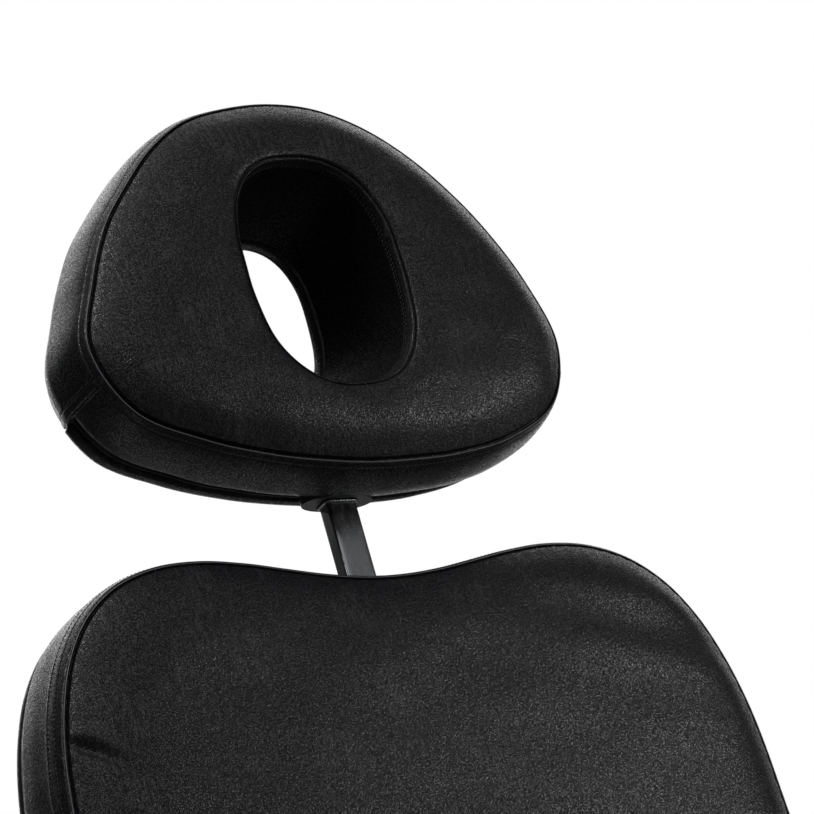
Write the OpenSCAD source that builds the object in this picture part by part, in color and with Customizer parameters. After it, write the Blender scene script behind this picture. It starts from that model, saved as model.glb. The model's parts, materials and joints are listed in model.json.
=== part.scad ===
// Hydraulic beauty treatment chair, in millimetres.
// The origin is on the floor, on the axis of the lifting column. +Z is up and
// the sitter faces -Y. The chair stands at its lowest, with the back reclined.

/* [Headrest] */
// Width of the headrest at its widest
headrest_w = 370; // [340:5:390]
// Height of the headrest
headrest_h = 281; // [260:1:300]
// Depth of the stitched side band
headrest_band = 59; // [50:1:66]
// How far the front face swells out of its seam
headrest_crown = 17; // [8:1:24]
// Width of the face hole at the front
hole_w = 128; // [110:2:136]
// Height of the face hole at the front
hole_h = 175; // [150:5:180]
// How far the rear pad swells past the side band
rear_bulge = 34; // [24:1:44]
// How far the middle of the headrest stands above the shoulders of the back
headrest_rise = 195; // [185:5:225]

/* [Headrest post] */
// Width of the flat post
post_w = 25; // [20:1:30]
// Depth of the flat post
post_d = 15; // [12:1:18]
// Wall of the post
post_wall = 1.5; // [1:0.1:2]
// How far the post can rise above the position shown
post_up = 90; // [40:5:110]
// How far the post can sink below the position shown
post_down = 55; // [20:5:60]

/* [Backrest] */
// Width of the back cushion
back_w = 550; // [500:5:560]
// Length of the back cushion, from its lower edge to its shoulders
back_len = 659; // [620:1:680]
// Depth of the back cushion's side band, in front of its board
back_band = 43; // [38:1:50]
// How far the front face of the back cushion swells
back_crown = 15; // [8:1:20]
// Thickness of the upholstered rear panel
back_panel_t = 14; // [10:1:20]
// Recline from upright in the position shown
recline = 28.7; // [20:0.1:45]

/* [Seat] */
// Width of the seat cushion
seat_w = 550; // [500:5:560]
// Length of the seat cushion
seat_len = 485; // [450:5:495]
// Depth of the seat cushion's side band
seat_band = 72; // [60:1:90]
// How far the top of the seat cushion swells
seat_crown = 17; // [8:1:24]
// Height of the underside of the seat frame
frame_z = 385; // [380:5:420]

/* [Legrest] */
// Length of the legrest cushion
leg_len = 400; // [340:5:410]
// Width of the legrest cushion
leg_w = 530; // [460:5:550]
// Droop of the legrest in the position shown
leg_drop = 35; // [10:1:50]

/* [Armrests] */
// Length of the arm pad
arm_len = 340; // [280:5:360]
// Width of the arm pad
arm_w = 80; // [60:2:84]
// Thickness of the arm pad
arm_t = 46; // [35:1:55]
// Distance of each arm's middle from the middle of the chair
arm_x = 330; // [328:1:350]
// Height of the arm's pivot above the floor
arm_z = 650; // [620:5:680]

/* [Frame] */
// Side of the square seat tubes
seat_tube = 30; // [28:1:32]
// Side of the square back, leg and arm tubes
slim_tube = 25; // [22:1:26]
// Wall of all square tubes
tube_wall = 2; // [1.5:0.5:3]
// Thickness of the plywood boards
board_t = 15; // [12:1:16]
// Thickness of the hinge plates
plate_t = 6; // [5:0.5:7]
// Diameter of the hinge pins
pin_d = 14; // [12:0.5:15]

/* [Column and base] */
// Diameter of the base plate
base_d = 600; // [560:5:640]
// Thickness of the base plate
base_t = 8; // [6:1:12]
// Diameter of the pump body
pump_d = 110; // [100:1:114]
// Height of the top of the pump body
pump_top = 290; // [280:1:292]
// Diameter of the lifting ram
ram_d = 36; // [30:1:40]
// Diameter of the swivel hub
hub_d = 80; // [74:1:84]
// Distance from the column to the end of the foot pedal
pedal_reach = 370; // [340:5:385]

/* [Gas springs] */
// Diameter of the spring's cylinder
spring_d = 25; // [22:1:28]
// Diameter of the spring's piston rod
rod_d = 10; // [8:0.5:12]
// Distance of each spring from the middle of the chair
spring_x = 62; // [60:1:66]

/* [Hidden] */

$fn = 64;

// Fits and overruns
fit = 0.05;
gap = 0.3;
side_gap = 1.5;
over = 2;

// Colours
black_leather = [0.06, 0.06, 0.065];
chrome_metal = [0.78, 0.79, 0.8];
black_metal = [0.1, 0.1, 0.11];
zinc_steel = [0.6, 0.61, 0.62];
grey_plastic = [0.2, 0.2, 0.21];
birch_ply = [0.72, 0.58, 0.4];
black_rubber = [0.05, 0.05, 0.05];

// Heights of the seat, from the frame up
board_z = frame_z + seat_tube;
cushion_z = board_z + board_t;
seat_top = cushion_z + seat_band + seat_crown;

// Places of the seat frame
rail_x = 150;
rail_rear_y = 246;
seat_rear_y = 212;
rail_inset = 3;
rail_front_y = seat_rear_y - seat_len + rail_inset;
front_tube_in = 45;
front_tube_y = rail_front_y + front_tube_in;
plate_half_y = 60;
plate_half_x = rail_x - seat_tube / 2;
top_plate_t = 8;
cushion_inset = 14;

// Recline axis: the post, the receiver and the axis share one plane
back_y = 235;
post_front_depth = 44;
axis_depth = post_front_depth + post_d / 2;
back_seam_depth = 18.3;
back_seam_y = back_seam_depth - axis_depth;
axis_below_seat = 48;
back_z = seat_top - axis_below_seat;
back_foot = 36;
headrest_reach = back_foot + back_len + headrest_rise;
receiver_wall = 2;
back_board_y = back_seam_y + back_band;
back_panel_y = back_board_y + board_t;
back_rail_y = back_panel_y + back_panel_t + slim_tube / 2;
back_ear_r = 17;
back_rail_x = rail_x - seat_tube / 2 - 2 * plate_t - gap - slim_tube / 2;
back_rail_len = 520;
back_rail_foot = 32;
dip = 17;
post_grip = 80;
post_overlap = post_up + post_grip;

// Leg axis
leg_axis_out = 22;
leg_y = rail_front_y - leg_axis_out;
leg_z = frame_z + seat_tube / 2;
leg_rail_x = rail_x - seat_tube / 2 - plate_t - side_gap - slim_tube / 2;
leg_foot = 24;
leg_rail_short = 40;
leg_rail_len = leg_len - leg_rail_short;
leg_crown = 14;
leg_band = seat_top - leg_z - slim_tube / 2 - board_t - leg_crown;
pin_step = 2;
leg_pin_d = pin_d - pin_step;

// Gas springs
spring_z = 328;
head_w = 22;
eye_r = 10;
spring_pin_d = 12;
clevis_t = 5;
back_eye = [75, -6];
leg_eye = [-4, -48];

// Rounded square tube along z, drawn about its middle
module tube(side, length) {
    difference() {
        translate([-side / 2, -side / 2, 0]) cube([side, side, length]);
        translate([tube_wall - side / 2, tube_wall - side / 2, -over])
            cube([side - 2 * tube_wall, side - 2 * tube_wall, length + 2 * over]);
    }
}

// Square tube across the chair, between two distances from its middle
module tube_across(side, from, to) {
    translate([from, 0, 0]) rotate([0, 90, 0]) tube(side, to - from);
}

// Square tube along y, between two places
module tube_along(side, from, to) {
    translate([0, to, 0]) rotate([90, 0, 0]) tube(side, to - from);
}

// Round bar across the chair
module bar_across(d, from, to) {
    translate([from, 0, 0]) rotate([0, 90, 0]) cylinder(d = d, h = to - from);
}

// Copies on both sides of the chair
module both_sides() {
    children();
    mirror([1, 0, 0]) children();
}

// Frame of the reclined back: y is depth to its rear, z runs up along it
module back_frame() translate([0, back_y, back_z]) rotate([-recline, 0, 0]) children();

// Frame of the legrest: -y runs out along it, z is its top side
module leg_frame() translate([0, leg_y, leg_z]) rotate([leg_drop, 0, 0]) children();

// Pad drawn flat, its front up, stood on the back at a depth
module on_back(depth) translate([0, depth, 0]) rotate([90, 0, 0]) children();

// Smooth closed curves through a few chosen points
function curve_at(a, b, c, d, t) =
    (2 * b + (c - a) * t + (2 * a - 5 * b + 4 * c - d) * t * t
        + (3 * b - a - 3 * c + d) * t * t * t) / 2;
function smooth_loop(p, steps) = let (n = len(p))
    [for (i = [0 : n - 1], s = [0 : steps - 1])
        curve_at(p[(i + n - 1) % n], p[i], p[(i + 1) % n], p[(i + 2) % n], s / steps)];

// Half outline from top middle to bottom middle, completed on the other side
function both_halves(half) =
    concat(half, [for (i = [len(half) - 2 : -1 : 1]) [-half[i][0], half[i][1]]]);
function sized(shares, w, h) = [for (p = shares) [p[0] * w, p[1] * h]];

// Closed rounded rectangle from a superellipse, clockwise from the top
function sign_power(v, e) = sign(v) * pow(abs(v), e);
function rounded(w, h, squareness, n) =
    [for (i = [0 : n - 1]) let (a = 360 * i / n)
        [w / 2 * sign_power(sin(a), 2 / squareness),
         h / 2 * sign_power(cos(a), 2 / squareness)]];

// Ring of an outline drawn in by a distance, at a height
function widest(p) = max([for (q = p) abs(q[0])]);
function tallest(p) = (max([for (q = p) q[1]]) - min([for (q = p) q[1]])) / 2;
function middle(p) = (max([for (q = p) q[1]]) + min([for (q = p) q[1]])) / 2;
function drawn_in(p, by, z) = let (w = widest(p), h = tallest(p), m = middle(p))
    [for (q = p) [q[0] * (1 - by / w), m + (q[1] - m) * (1 - by / h), z]];

// Ring part of the way from the middle of an outline to its edge
function shrunk(p, share, z) = let (m = middle(p))
    [for (q = p) [q[0] * share, m + (q[1] - m) * share, z]];

// Ring part of the way from one outline to another
function between(inner, outer, share, z) =
    [for (i = [0 : len(outer) - 1])
        [inner[i][0] + (outer[i][0] - inner[i][0]) * share,
         inner[i][1] + (outer[i][1] - inner[i][1]) * share, z]];

// Solid through rings of clockwise points, closed at both ends
module lofted(rings) {
    n = len(rings[0]);
    m = len(rings);
    points = concat([for (r = rings, p = r) p],
        [[0, middle(rings[0]), rings[0][0][2]],
         [0, middle(rings[m - 1]), rings[m - 1][0][2]]]);
    sides = [for (k = [0 : m - 2], i = [0 : n - 1]) let (j = (i + 1) % n, a = k * n, b = a + n)
        each [[a + i, a + j, b + j], [a + i, b + j, b + i]]];
    ends = [for (i = [0 : n - 1]) let (j = (i + 1) % n, b = (m - 1) * n)
        each [[m * n, j, i], [m * n + 1, b + i, b + j]]];
    polyhedron(points = points, faces = concat(sides, ends), convexity = 4);
}

// Ring-shaped solid through rings of clockwise points, the last joined to the first
module lofted_ring(rings) {
    n = len(rings[0]);
    m = len(rings);
    faces = [for (k = [0 : m - 1], i = [0 : n - 1])
        let (j = (i + 1) % n, a = k * n, b = ((k + 1) % m) * n)
        each [[a + i, a + j, b + j], [a + i, b + j, b + i]]];
    polyhedron(points = [for (r = rings, p = r) p], faces = faces, convexity = 6);
}

// Padded cushion on a flat base: side band drawn in at its waist, crowned front
waist = 5;
base_tuck = 4;
crown_shares = [[0.975, 0.26], [0.92, 0.5], [0.82, 0.72], [0.64, 0.9], [0.4, 0.98]];
module cushion(outline, band, crown) {
    lofted(concat(
        [drawn_in(outline, base_tuck, 0),
         drawn_in(outline, waist, band / 3),
         drawn_in(outline, waist / 2, band * 3 / 4),
         drawn_in(outline, 0, band)],
        [for (s = crown_shares) shrunk(outline, s[0], band + crown * s[1])],
        [shrunk(outline, crown_shares[0][0] / 6, band + crown)]));
}

// Outlines as shares of width and height, from top middle to bottom middle
headrest_shares = [[0, 0.506], [0.2, 0.489], [0.385, 0.442], [0.555, 0.366], [0.7, 0.266],
    [0.825, 0.146], [0.945, 0], [1, -0.176], [0.895, -0.34], [0.655, -0.432],
    [0.4, -0.462], [0.195, -0.481], [0, -0.493]];
headrest_foot = headrest_h * headrest_shares[len(headrest_shares) - 1][1];
headrest_outline = smooth_loop(both_halves(sized(headrest_shares, headrest_w / 2, headrest_h)), 2);

// The shoulders of the back stand over its dip; the straight sides run down to the foot
shoulder_shares = [[0, -1], [0.17, -0.77], [0.36, -0.24], [0.5, 0]];
shoulder_drop = 165;
side_shares = [[0.625, 0.02], [0.745, 0.073], [0.843, 0.18], [0.911, 0.34], [0.953, 0.527],
    [0.98, 0.76], [1, 1.3]];
foot_shares = [[1, 0.55], [0.99, 0.3], [0.97, 0.1], [0.9, 0.02], [0.75, 0], [0.4, 0], [0, 0]];
back_half = concat(
    [for (p = shoulder_shares) [p[0] * back_w / 2, back_foot + back_len + p[1] * dip]],
    [for (p = side_shares) [p[0] * back_w / 2, back_foot + back_len - p[1] * shoulder_drop]],
    [for (p = foot_shares) [p[0] * back_w / 2, back_foot + p[1] * back_len]]);
back_outline = smooth_loop(both_halves(back_half), 2);

// Face hole: an oval that narrows and rises towards the rear
hole_rise_share = 0.056;
hole_taper_share = 0.27;
hole_squareness = 2.5;
function hole_at(share) =
    [for (p = headrest_outline) let (a = atan2(p[0], p[1]),
            k = 1 - hole_taper_share * share)
        [hole_w / 2 * k * sign_power(sin(a), 2 / hole_squareness),
         hole_h / 2 * k * sign_power(cos(a), 2 / hole_squareness)
            + hole_rise_share * headrest_h * share]];
function hole_at_height(z) =
    hole_at((headrest_crown - z) / (headrest_crown + headrest_band + rear_bulge));

// The steel plate lies in a groove between face pad and rear pad, and the band bulges
plate_gap = 3;
side_bulge = 7;

module headrest_face_pad() {
    front_shares = [[0.97, 0.22], [0.88, 0.52], [0.7, 0.82], [0.45, 1], [0.2, 1], [0.06, 0.95]];
    rim_drop = 3;
    lofted_ring(concat(
        [drawn_in(headrest_outline, 0, -headrest_band),
         drawn_in(headrest_outline, -side_bulge, -headrest_band * 3 / 4),
         drawn_in(headrest_outline, -side_bulge * 3 / 4, -headrest_band / 4),
         drawn_in(headrest_outline, 0, 0)],
        [for (s = front_shares)
            between(hole_at(0), headrest_outline, s[0], headrest_crown * s[1])],
        [for (z = [headrest_crown - rim_drop, -headrest_band / 3, -headrest_band])
            between(hole_at_height(z), headrest_outline, 0, z)]));
}

module headrest_back_pad() {
    back_shares = [[0.95, 0.45], [0.85, 0.68], [0.65, 0.88], [0.4, 1], [0.15, 1]];
    edge_in = 3;
    edge = 9;
    top = -headrest_band - plate_gap;
    lofted_ring(concat(
        [between(hole_at_height(top), headrest_outline, 0, top),
         between(hole_at(1), headrest_outline, 0, -headrest_band - rear_bulge + edge_in)],
        [for (i = [len(back_shares) - 1 : -1 : 0]) let (s = back_shares[i])
            between(hole_at(1), headrest_outline, s[0], top - (rear_bulge - plate_gap) * s[1])],
        [drawn_in(headrest_outline, edge_in, top - edge),
         drawn_in(headrest_outline, edge_in, top)]));
}

// Headrest

post_top = hole_h / 2 - over;
post_pocket_top = post_top - over;
module in_headrest() back_frame() translate([0, -axis_depth, headrest_reach]) children();

module headrest_cushion() color(black_leather) in_headrest() difference() {
    on_back(0) headrest_face_pad();
    translate([-post_w / 2 - gap, post_front_depth - gap, -headrest_h])
        cube([post_w + 2 * gap, headrest_band, headrest_h - post_pocket_top]);
    translate([0, axis_depth, headrest_foot - headrest_h]) linear_extrude(headrest_h)
        polygon(rounded(collar_w + 2 * gap, collar_d + 2 * gap, 2, 48));
}

module headrest_rear_pad() color(black_leather) in_headrest() on_back(0) headrest_back_pad();

module headrest_plate() color(black_metal) in_headrest() {
    inset = 12;
    translate([0, headrest_band + plate_gap, 0]) rotate([90, 0, 0])
        linear_extrude(plate_gap) difference() {
            polygon([for (q = drawn_in(headrest_outline, inset, 0)) [q[0], q[1]]]);
            polygon(hole_at_height(0));
        }
}

collar_w = 55;
collar_d = 27;
collar_t = 5;
module headrest_collar() color(grey_plastic) in_headrest()
    translate([0, axis_depth, headrest_foot - collar_t]) difference() {
        linear_extrude(collar_t) polygon(rounded(collar_w, collar_d, 2, 48));
        translate([-post_w / 2 - gap, -post_d / 2 - gap, -over])
            cube([post_w + 2 * gap, post_d + 2 * gap, collar_t + 2 * over]);
    }

back_top = back_foot + back_len - dip;
post_bottom = back_top - post_overlap;
module headrest_post() color(chrome_metal) back_frame() {
    top = headrest_reach - post_top;
    difference() {
        translate([-post_w / 2, -post_d / 2, post_bottom])
            cube([post_w, post_d, top - post_bottom]);
        translate([post_wall - post_w / 2, post_wall - post_d / 2, post_bottom - over])
            cube([post_w - 2 * post_wall, post_d - 2 * post_wall, top - post_bottom + 2 * over]);
    }
}

// Backrest

receiver_w = post_w + 2 * (receiver_wall + gap / 2);
receiver_d = post_d + 2 * (receiver_wall + gap / 2);
receiver_foot = post_bottom - post_down - over;
knob_drop = 110;
knob_z = back_top - knob_drop;
knob_thread_d = 10;
module headrest_receiver() color(black_metal) back_frame() difference() {
    translate([-receiver_w / 2, -receiver_d / 2, receiver_foot])
        cube([receiver_w, receiver_d, back_top - receiver_foot]);
    translate([-post_w / 2 - gap / 2, -post_d / 2 - gap / 2, receiver_foot - over])
        cube([post_w + gap, post_d + gap, back_top - receiver_foot + 2 * over]);
    translate([0, 0, knob_z]) rotate([-90, 0, 0])
        cylinder(d = knob_thread_d + 2 * fit, h = receiver_d);
}

module back_cushion() color(black_leather) back_frame() difference() {
    on_back(back_board_y) cushion(back_outline, back_band, back_crown);
    translate([-receiver_w / 2 - gap, -receiver_d / 2 - gap, receiver_foot - over])
        cube([receiver_w + 2 * gap, back_band, back_len]);
}

knob_hole_d = knob_thread_d + side_gap;
back_board_inset = 8;
module back_board() color(birch_ply) back_frame() difference() {
    translate([0, back_panel_y, 0]) rotate([90, 0, 0]) linear_extrude(board_t)
        polygon([for (q = drawn_in(back_outline, back_board_inset, 0)) [q[0], q[1]]]);
    translate([0, 0, knob_z]) rotate([-90, 0, 0]) cylinder(d = knob_hole_d, h = back_w);
}

module back_panel() color(black_leather) back_frame() difference() {
    translate([0, back_panel_y + back_panel_t, 0]) rotate([90, 0, 0])
        linear_extrude(back_panel_t)
            polygon([for (q = drawn_in(back_outline, base_tuck, 0)) [q[0], q[1]]]);
    translate([0, 0, knob_z]) rotate([-90, 0, 0]) cylinder(d = knob_hole_d, h = back_w);
}

module back_rails() color(black_metal) back_frame() both_sides()
    translate([back_rail_x, back_rail_y, back_rail_foot]) tube(slim_tube, back_rail_len);

cross_low = 62;
cross_high_share = 0.85;
module back_cross_tubes() color(black_metal) back_frame()
    for (z = [cross_low, back_rail_foot + back_rail_len * cross_high_share])
        translate([0, back_rail_y, z])
            tube_across(slim_tube, slim_tube / 2 - back_rail_x, back_rail_x - slim_tube / 2);

// Ear from the rail's outer side forward to the recline axis
ear_top = 130;
module back_ears() color(black_metal) back_frame() both_sides()
    translate([back_rail_x + slim_tube / 2, 0, 0]) rotate([90, 0, 90]) difference() {
        union() {
            linear_extrude(plate_t) hull() {
                circle(r = back_ear_r);
                translate([back_rail_y - slim_tube / 2, -back_ear_r])
                    square([slim_tube, 2 * back_ear_r]);
            }
            translate([back_rail_y - slim_tube / 2, 0, 0]) cube([slim_tube, ear_top, plate_t]);
        }
        translate([0, 0, -over]) cylinder(d = pin_d + 2 * fit, h = plate_t + 2 * over);
    }

lever_t = 5;
module back_lever() color(black_metal) back_frame() {
    top = cross_low - slim_tube / 2;
    for (side = [-1, 1])
        translate([spring_x + side * (head_w / 2 + side_gap) + (side - 1) / 2 * lever_t, 0, 0])
            rotate([90, 0, 90]) linear_extrude(lever_t) difference() {
                hull() {
                    translate(back_eye) circle(r = eye_r);
                    translate([back_rail_y - eye_r, top - over]) square([2 * eye_r, over]);
                }
                translate(back_eye) circle(d = spring_pin_d);
            }
}

// Clamp knob: a stud through panel and board, a five-lobed grip behind
knob_r = 20;
lobe_r = 8;
knob_t = 16;
module headrest_knob() color(black_metal) back_frame() translate([0, 0, knob_z])
    rotate([-90, 0, 0]) {
        translate([0, 0, post_d / 2 + gap])
            cylinder(d = knob_thread_d, h = back_panel_y + back_panel_t - post_d / 2 + side_gap);
        translate([0, 0, back_panel_y + back_panel_t + side_gap]) {
            cylinder(r = knob_r, h = knob_t);
            for (i = [0 : 4]) rotate([0, 0, i * 360 / 5]) translate([knob_r, 0, 0])
                cylinder(r = lobe_r, h = knob_t);
        }
    }

// Seat

module seat_rail(side) translate([side * rail_x, 0, frame_z + seat_tube / 2]) difference() {
    tube_along(seat_tube, rail_front_y, rail_rear_y);
    for (y = [-plate_half_y / 2, plate_half_y / 2])
        translate([0, y, 0]) cylinder(d = spring_pin_d, h = seat_tube, center = true);
}
module seat_rail_left() color(black_metal) seat_rail(-1);
module seat_rail_right() color(black_metal) seat_rail(1);

rear_tube_y = 45;
module seat_cross_tubes() color(black_metal)
    for (y = [front_tube_y, -rear_tube_y, rear_tube_y])
        translate([0, y, frame_z + seat_tube / 2])
            tube_across(seat_tube, -plate_half_x, plate_half_x);

module top_plate() color(black_metal)
    translate([-rail_x, -plate_half_y, frame_z - top_plate_t])
        cube([2 * rail_x, 2 * plate_half_y, top_plate_t]);

cap_t = 3;
module tube_cap(side) {
    translate([-side / 2, 0, -side / 2]) cube([side, cap_t, side]);
}
module seat_tube_caps() color(black_rubber) both_sides() {
    translate([rail_x, rail_rear_y, frame_z + seat_tube / 2]) tube_cap(seat_tube);
    translate([arm_x + slim_tube / 2, arm_y, frame_z + seat_tube / 2]) rotate([0, 0, -90])
        tube_cap(slim_tube);
}
module back_tube_caps() color(black_rubber) back_frame() both_sides()
    translate([back_rail_x, back_rail_y, back_rail_foot + back_rail_len]) rotate([90, 0, 0])
        tube_cap(slim_tube);
module leg_tube_caps() color(black_rubber) leg_frame() both_sides()
    translate([leg_rail_x, -leg_rail_len - cap_t, 0]) tube_cap(slim_tube);

seat_squareness = 7;
seat_outline = rounded(seat_w, seat_len, seat_squareness, 48);
module seat_board() color(birch_ply)
    translate([0, seat_rear_y - seat_len / 2, board_z]) linear_extrude(board_t)
        polygon([for (q = drawn_in(seat_outline, cushion_inset, 0)) [q[0], q[1]]]);
module seat_cushion() color(black_leather)
    translate([0, seat_rear_y - seat_len / 2, cushion_z])
        cushion(seat_outline, seat_band, seat_crown);

// Plate from a rail's inner side to a pivot
module hinge_plate(from_y, to_y, pivot, r, bore) {
    rail_mid = frame_z + seat_tube / 2;
    rotate([90, 0, 90]) linear_extrude(plate_t) difference() {
        hull() {
            translate(pivot) circle(r = r);
            translate([from_y, rail_mid - seat_tube / 2]) square([to_y - from_y, seat_tube]);
        }
        translate(pivot) circle(d = bore);
    }
}
hinge_x = rail_x - seat_tube / 2 - plate_t;
module back_hinge_plates() color(black_metal) both_sides() translate([hinge_x, 0, 0])
    hinge_plate(seat_rear_y + side_gap, rail_rear_y, [back_y, back_z], back_ear_r,
        pin_d + 2 * fit);
leg_ear_r = 13;
module leg_hinge_plates() color(black_metal) both_sides() translate([hinge_x, 0, 0])
    hinge_plate(rail_front_y, front_tube_y - seat_tube / 2, [leg_y, leg_z], leg_ear_r,
        leg_pin_d + 2 * fit);

pin_head_t = 4;
pin_head_r = 10;
module hinge_pin(d, inner, outer) {
    bar_across(d, inner, outer);
    translate([outer, 0, 0]) bar_across(2 * pin_head_r, 0, pin_head_t);
    translate([inner - pin_head_t, 0, 0]) bar_across(2 * pin_head_r, 0, pin_head_t);
}
module back_hinge_pins() color(zinc_steel) both_sides() translate([0, back_y, back_z])
    hinge_pin(pin_d, back_rail_x + slim_tube / 2 - gap, rail_x - seat_tube / 2 + fit);
module leg_hinge_pins() color(zinc_steel) both_sides() translate([0, leg_y, leg_z])
    hinge_pin(leg_pin_d, leg_rail_x - slim_tube / 2 - gap, rail_x - seat_tube / 2 + fit);

// Clevis cheeks that hang from the top plate and carry the springs' heads
module spring_clevises() color(black_metal) both_sides() for (side = [-1, 1])
    translate([spring_x + side * (head_w / 2 + side_gap) + (side - 1) / 2 * clevis_t, 0, 0])
        rotate([90, 0, 90]) linear_extrude(clevis_t) difference() {
            hull() {
                translate([0, spring_z]) circle(r = eye_r + over);
                translate([-2 * eye_r, frame_z - top_plate_t - over]) square([4 * eye_r, over]);
            }
            translate([0, spring_z]) circle(d = spring_pin_d + 2 * fit);
        }

// Gas springs, laid along the line from the clevis to the lever's eye at rest
function turned(p, a) = [p[0] * cos(a) + p[1] * sin(a), p[1] * cos(a) - p[0] * sin(a)];
back_eye_at = [back_y, back_z] + turned(back_eye, recline);
leg_eye_at = [leg_y, leg_z] + leg_eye;
back_spring_line = back_eye_at - [0, spring_z];
leg_spring_line = leg_eye_at - [0, spring_z];
head_len = 34;
cylinder_share = 0.58;
rod_grip = 10;

module spring_rod(length, bore) {
    difference() {
        union() {
            bar_across(2 * eye_r, -head_w / 2, head_w / 2);
            translate([-head_w / 2, 0, -eye_r]) cube([head_w, head_len, 2 * eye_r]);
        }
        bar_across(bore, -head_w, head_w);
    }
    rotate([-90, 0, 0]) translate([0, 0, head_len])
        cylinder(d = rod_d, h = length * (1 - cylinder_share) + rod_grip);
}

module spring_cylinder(length) {
    start = length * (1 - cylinder_share);
    boss = 8;
    bar_across(2 * eye_r, -head_w / 2, head_w / 2, $fn = 48);
    rotate([-90, 0, 0]) translate([0, 0, -length]) difference() {
        translate([0, 0, start]) cylinder(d = spring_d, h = length - start - eye_r - boss);
        translate([0, 0, start - over])
            cylinder(d = rod_d + 2 * fit, h = length - start - eye_r - 3 * boss);
    }
    rotate([90, 0, 0]) cylinder(d = rod_d, h = eye_r + boss + over);
}

module at_spring(side, line) translate([side * spring_x, 0, spring_z])
    rotate([atan2(line[1], line[0]), 0, 0]) children();

module back_spring_rod() color(chrome_metal)
    at_spring(1, back_spring_line) spring_rod(norm(back_spring_line), spring_pin_d + 2 * fit);
module back_spring_cylinder() color(black_metal)
    at_spring(1, back_spring_line) translate([0, norm(back_spring_line), 0])
        spring_cylinder(norm(back_spring_line));
module leg_spring_rod() color(chrome_metal)
    at_spring(-1, leg_spring_line) spring_rod(norm(leg_spring_line), spring_pin_d + 2 * fit);
module leg_spring_cylinder() color(black_metal)
    at_spring(-1, leg_spring_line) translate([0, norm(leg_spring_line), 0])
        spring_cylinder(norm(leg_spring_line));

// Release shafts with a bent grip at the chair's side
grip_x = 262;
grip_len = 90;
grip_d = 22;
module release() translate([0, 0, spring_z]) {
    bar_across(spring_pin_d, spring_x - head_w / 2 - clevis_t - 2 * side_gap, grip_x);
    translate([grip_x, 0, 0]) rotate([90, 0, 0]) {
        translate([0, 0, -spring_pin_d / 2]) cylinder(d = spring_pin_d, h = grip_len);
        translate([0, 0, grip_len / 3]) cylinder(d = grip_d, h = grip_len);
        translate([0, 0, grip_len * 4 / 3]) sphere(d = grip_d);
    }
}
module back_release() color(black_metal) release();
module leg_release() color(black_metal) mirror([1, 0, 0]) release();

// Legrest

module leg_rails() color(black_metal) leg_frame() both_sides() translate([leg_rail_x, 0, 0])
    difference() {
        tube_along(slim_tube, -leg_rail_len, leg_ear_r);
        bar_across(leg_pin_d + 2 * fit, -slim_tube, slim_tube);
    }

leg_tube_y = -30;
module leg_cross_tube() color(black_metal) leg_frame() translate([0, leg_tube_y, 0])
    tube_across(slim_tube, slim_tube / 2 - leg_rail_x, leg_rail_x - slim_tube / 2);

leg_eye_local = turned(leg_eye, leg_drop);
module leg_lever() color(black_metal) leg_frame() for (side = [-1, 1])
    translate([-spring_x + side * (head_w / 2 + side_gap) + (side - 1) / 2 * lever_t, 0, 0])
        rotate([90, 0, 90]) linear_extrude(lever_t) difference() {
            hull() {
                translate(leg_eye_local) circle(r = eye_r);
                translate([leg_tube_y - eye_r, -slim_tube / 2 - over]) square([2 * eye_r, over]);
            }
            translate(leg_eye_local) circle(d = spring_pin_d);
        }

leg_squareness = 7;
leg_outline = rounded(leg_w, leg_len, leg_squareness, 48);
module leg_board() color(birch_ply) leg_frame()
    translate([0, -leg_foot - leg_len / 2, slim_tube / 2]) linear_extrude(board_t)
        polygon([for (q = drawn_in(leg_outline, cushion_inset, 0)) [q[0], q[1]]]);
module leg_cushion() color(black_leather) leg_frame()
    translate([0, -leg_foot - leg_len / 2, slim_tube / 2 + board_t])
        cushion(leg_outline, leg_band, leg_crown);

// Armrests

arm_y = 150;
arm_pin_d = 10;
cheek_t = 5;
cheek_h = 56;
arm_bar_len = 330;
arm_pad_back = 45;
module arm_outriggers() color(black_metal) both_sides()
    translate([0, arm_y, frame_z + seat_tube / 2])
        tube_across(slim_tube, rail_x + seat_tube / 2, arm_x + slim_tube / 2);

arm_post_foot = frame_z + seat_tube / 2 + slim_tube / 2;
arm_post_top = arm_z - slim_tube / 2 - gap;
module arm_posts() color(black_metal) both_sides()
    translate([arm_x, arm_y, arm_post_foot]) tube(slim_tube, arm_post_top - arm_post_foot);

module arm_hinge_cheeks() color(black_metal) both_sides() for (side = [-1, 1])
    translate([arm_x + side * (slim_tube / 2) + (side - 1) / 2 * cheek_t, arm_y, arm_z])
        rotate([90, 0, 90]) linear_extrude(cheek_t) difference() {
            union() {
                circle(d = slim_tube);
                translate([-slim_tube / 2, -cheek_h]) square([slim_tube, cheek_h]);
            }
            circle(d = arm_pin_d + 2 * fit);
        }

module arm_pins() color(zinc_steel) both_sides() translate([0, arm_y, arm_z])
    hinge_pin(arm_pin_d, arm_x - slim_tube / 2 - cheek_t, arm_x + slim_tube / 2 + cheek_t);

bar_side = slim_tube - 2 * gap;
module arm_bar(side) translate([side * arm_x, arm_y, arm_z]) difference() {
    union() {
        tube_along(bar_side, -arm_bar_len, 0);
        bar_across(bar_side, -bar_side / 2, bar_side / 2);
    }
    bar_across(arm_pin_d + 2 * fit, -slim_tube, slim_tube);
}
module arm_bar_left() color(black_metal) arm_bar(-1);
module arm_bar_right() color(black_metal) arm_bar(1);

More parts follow.
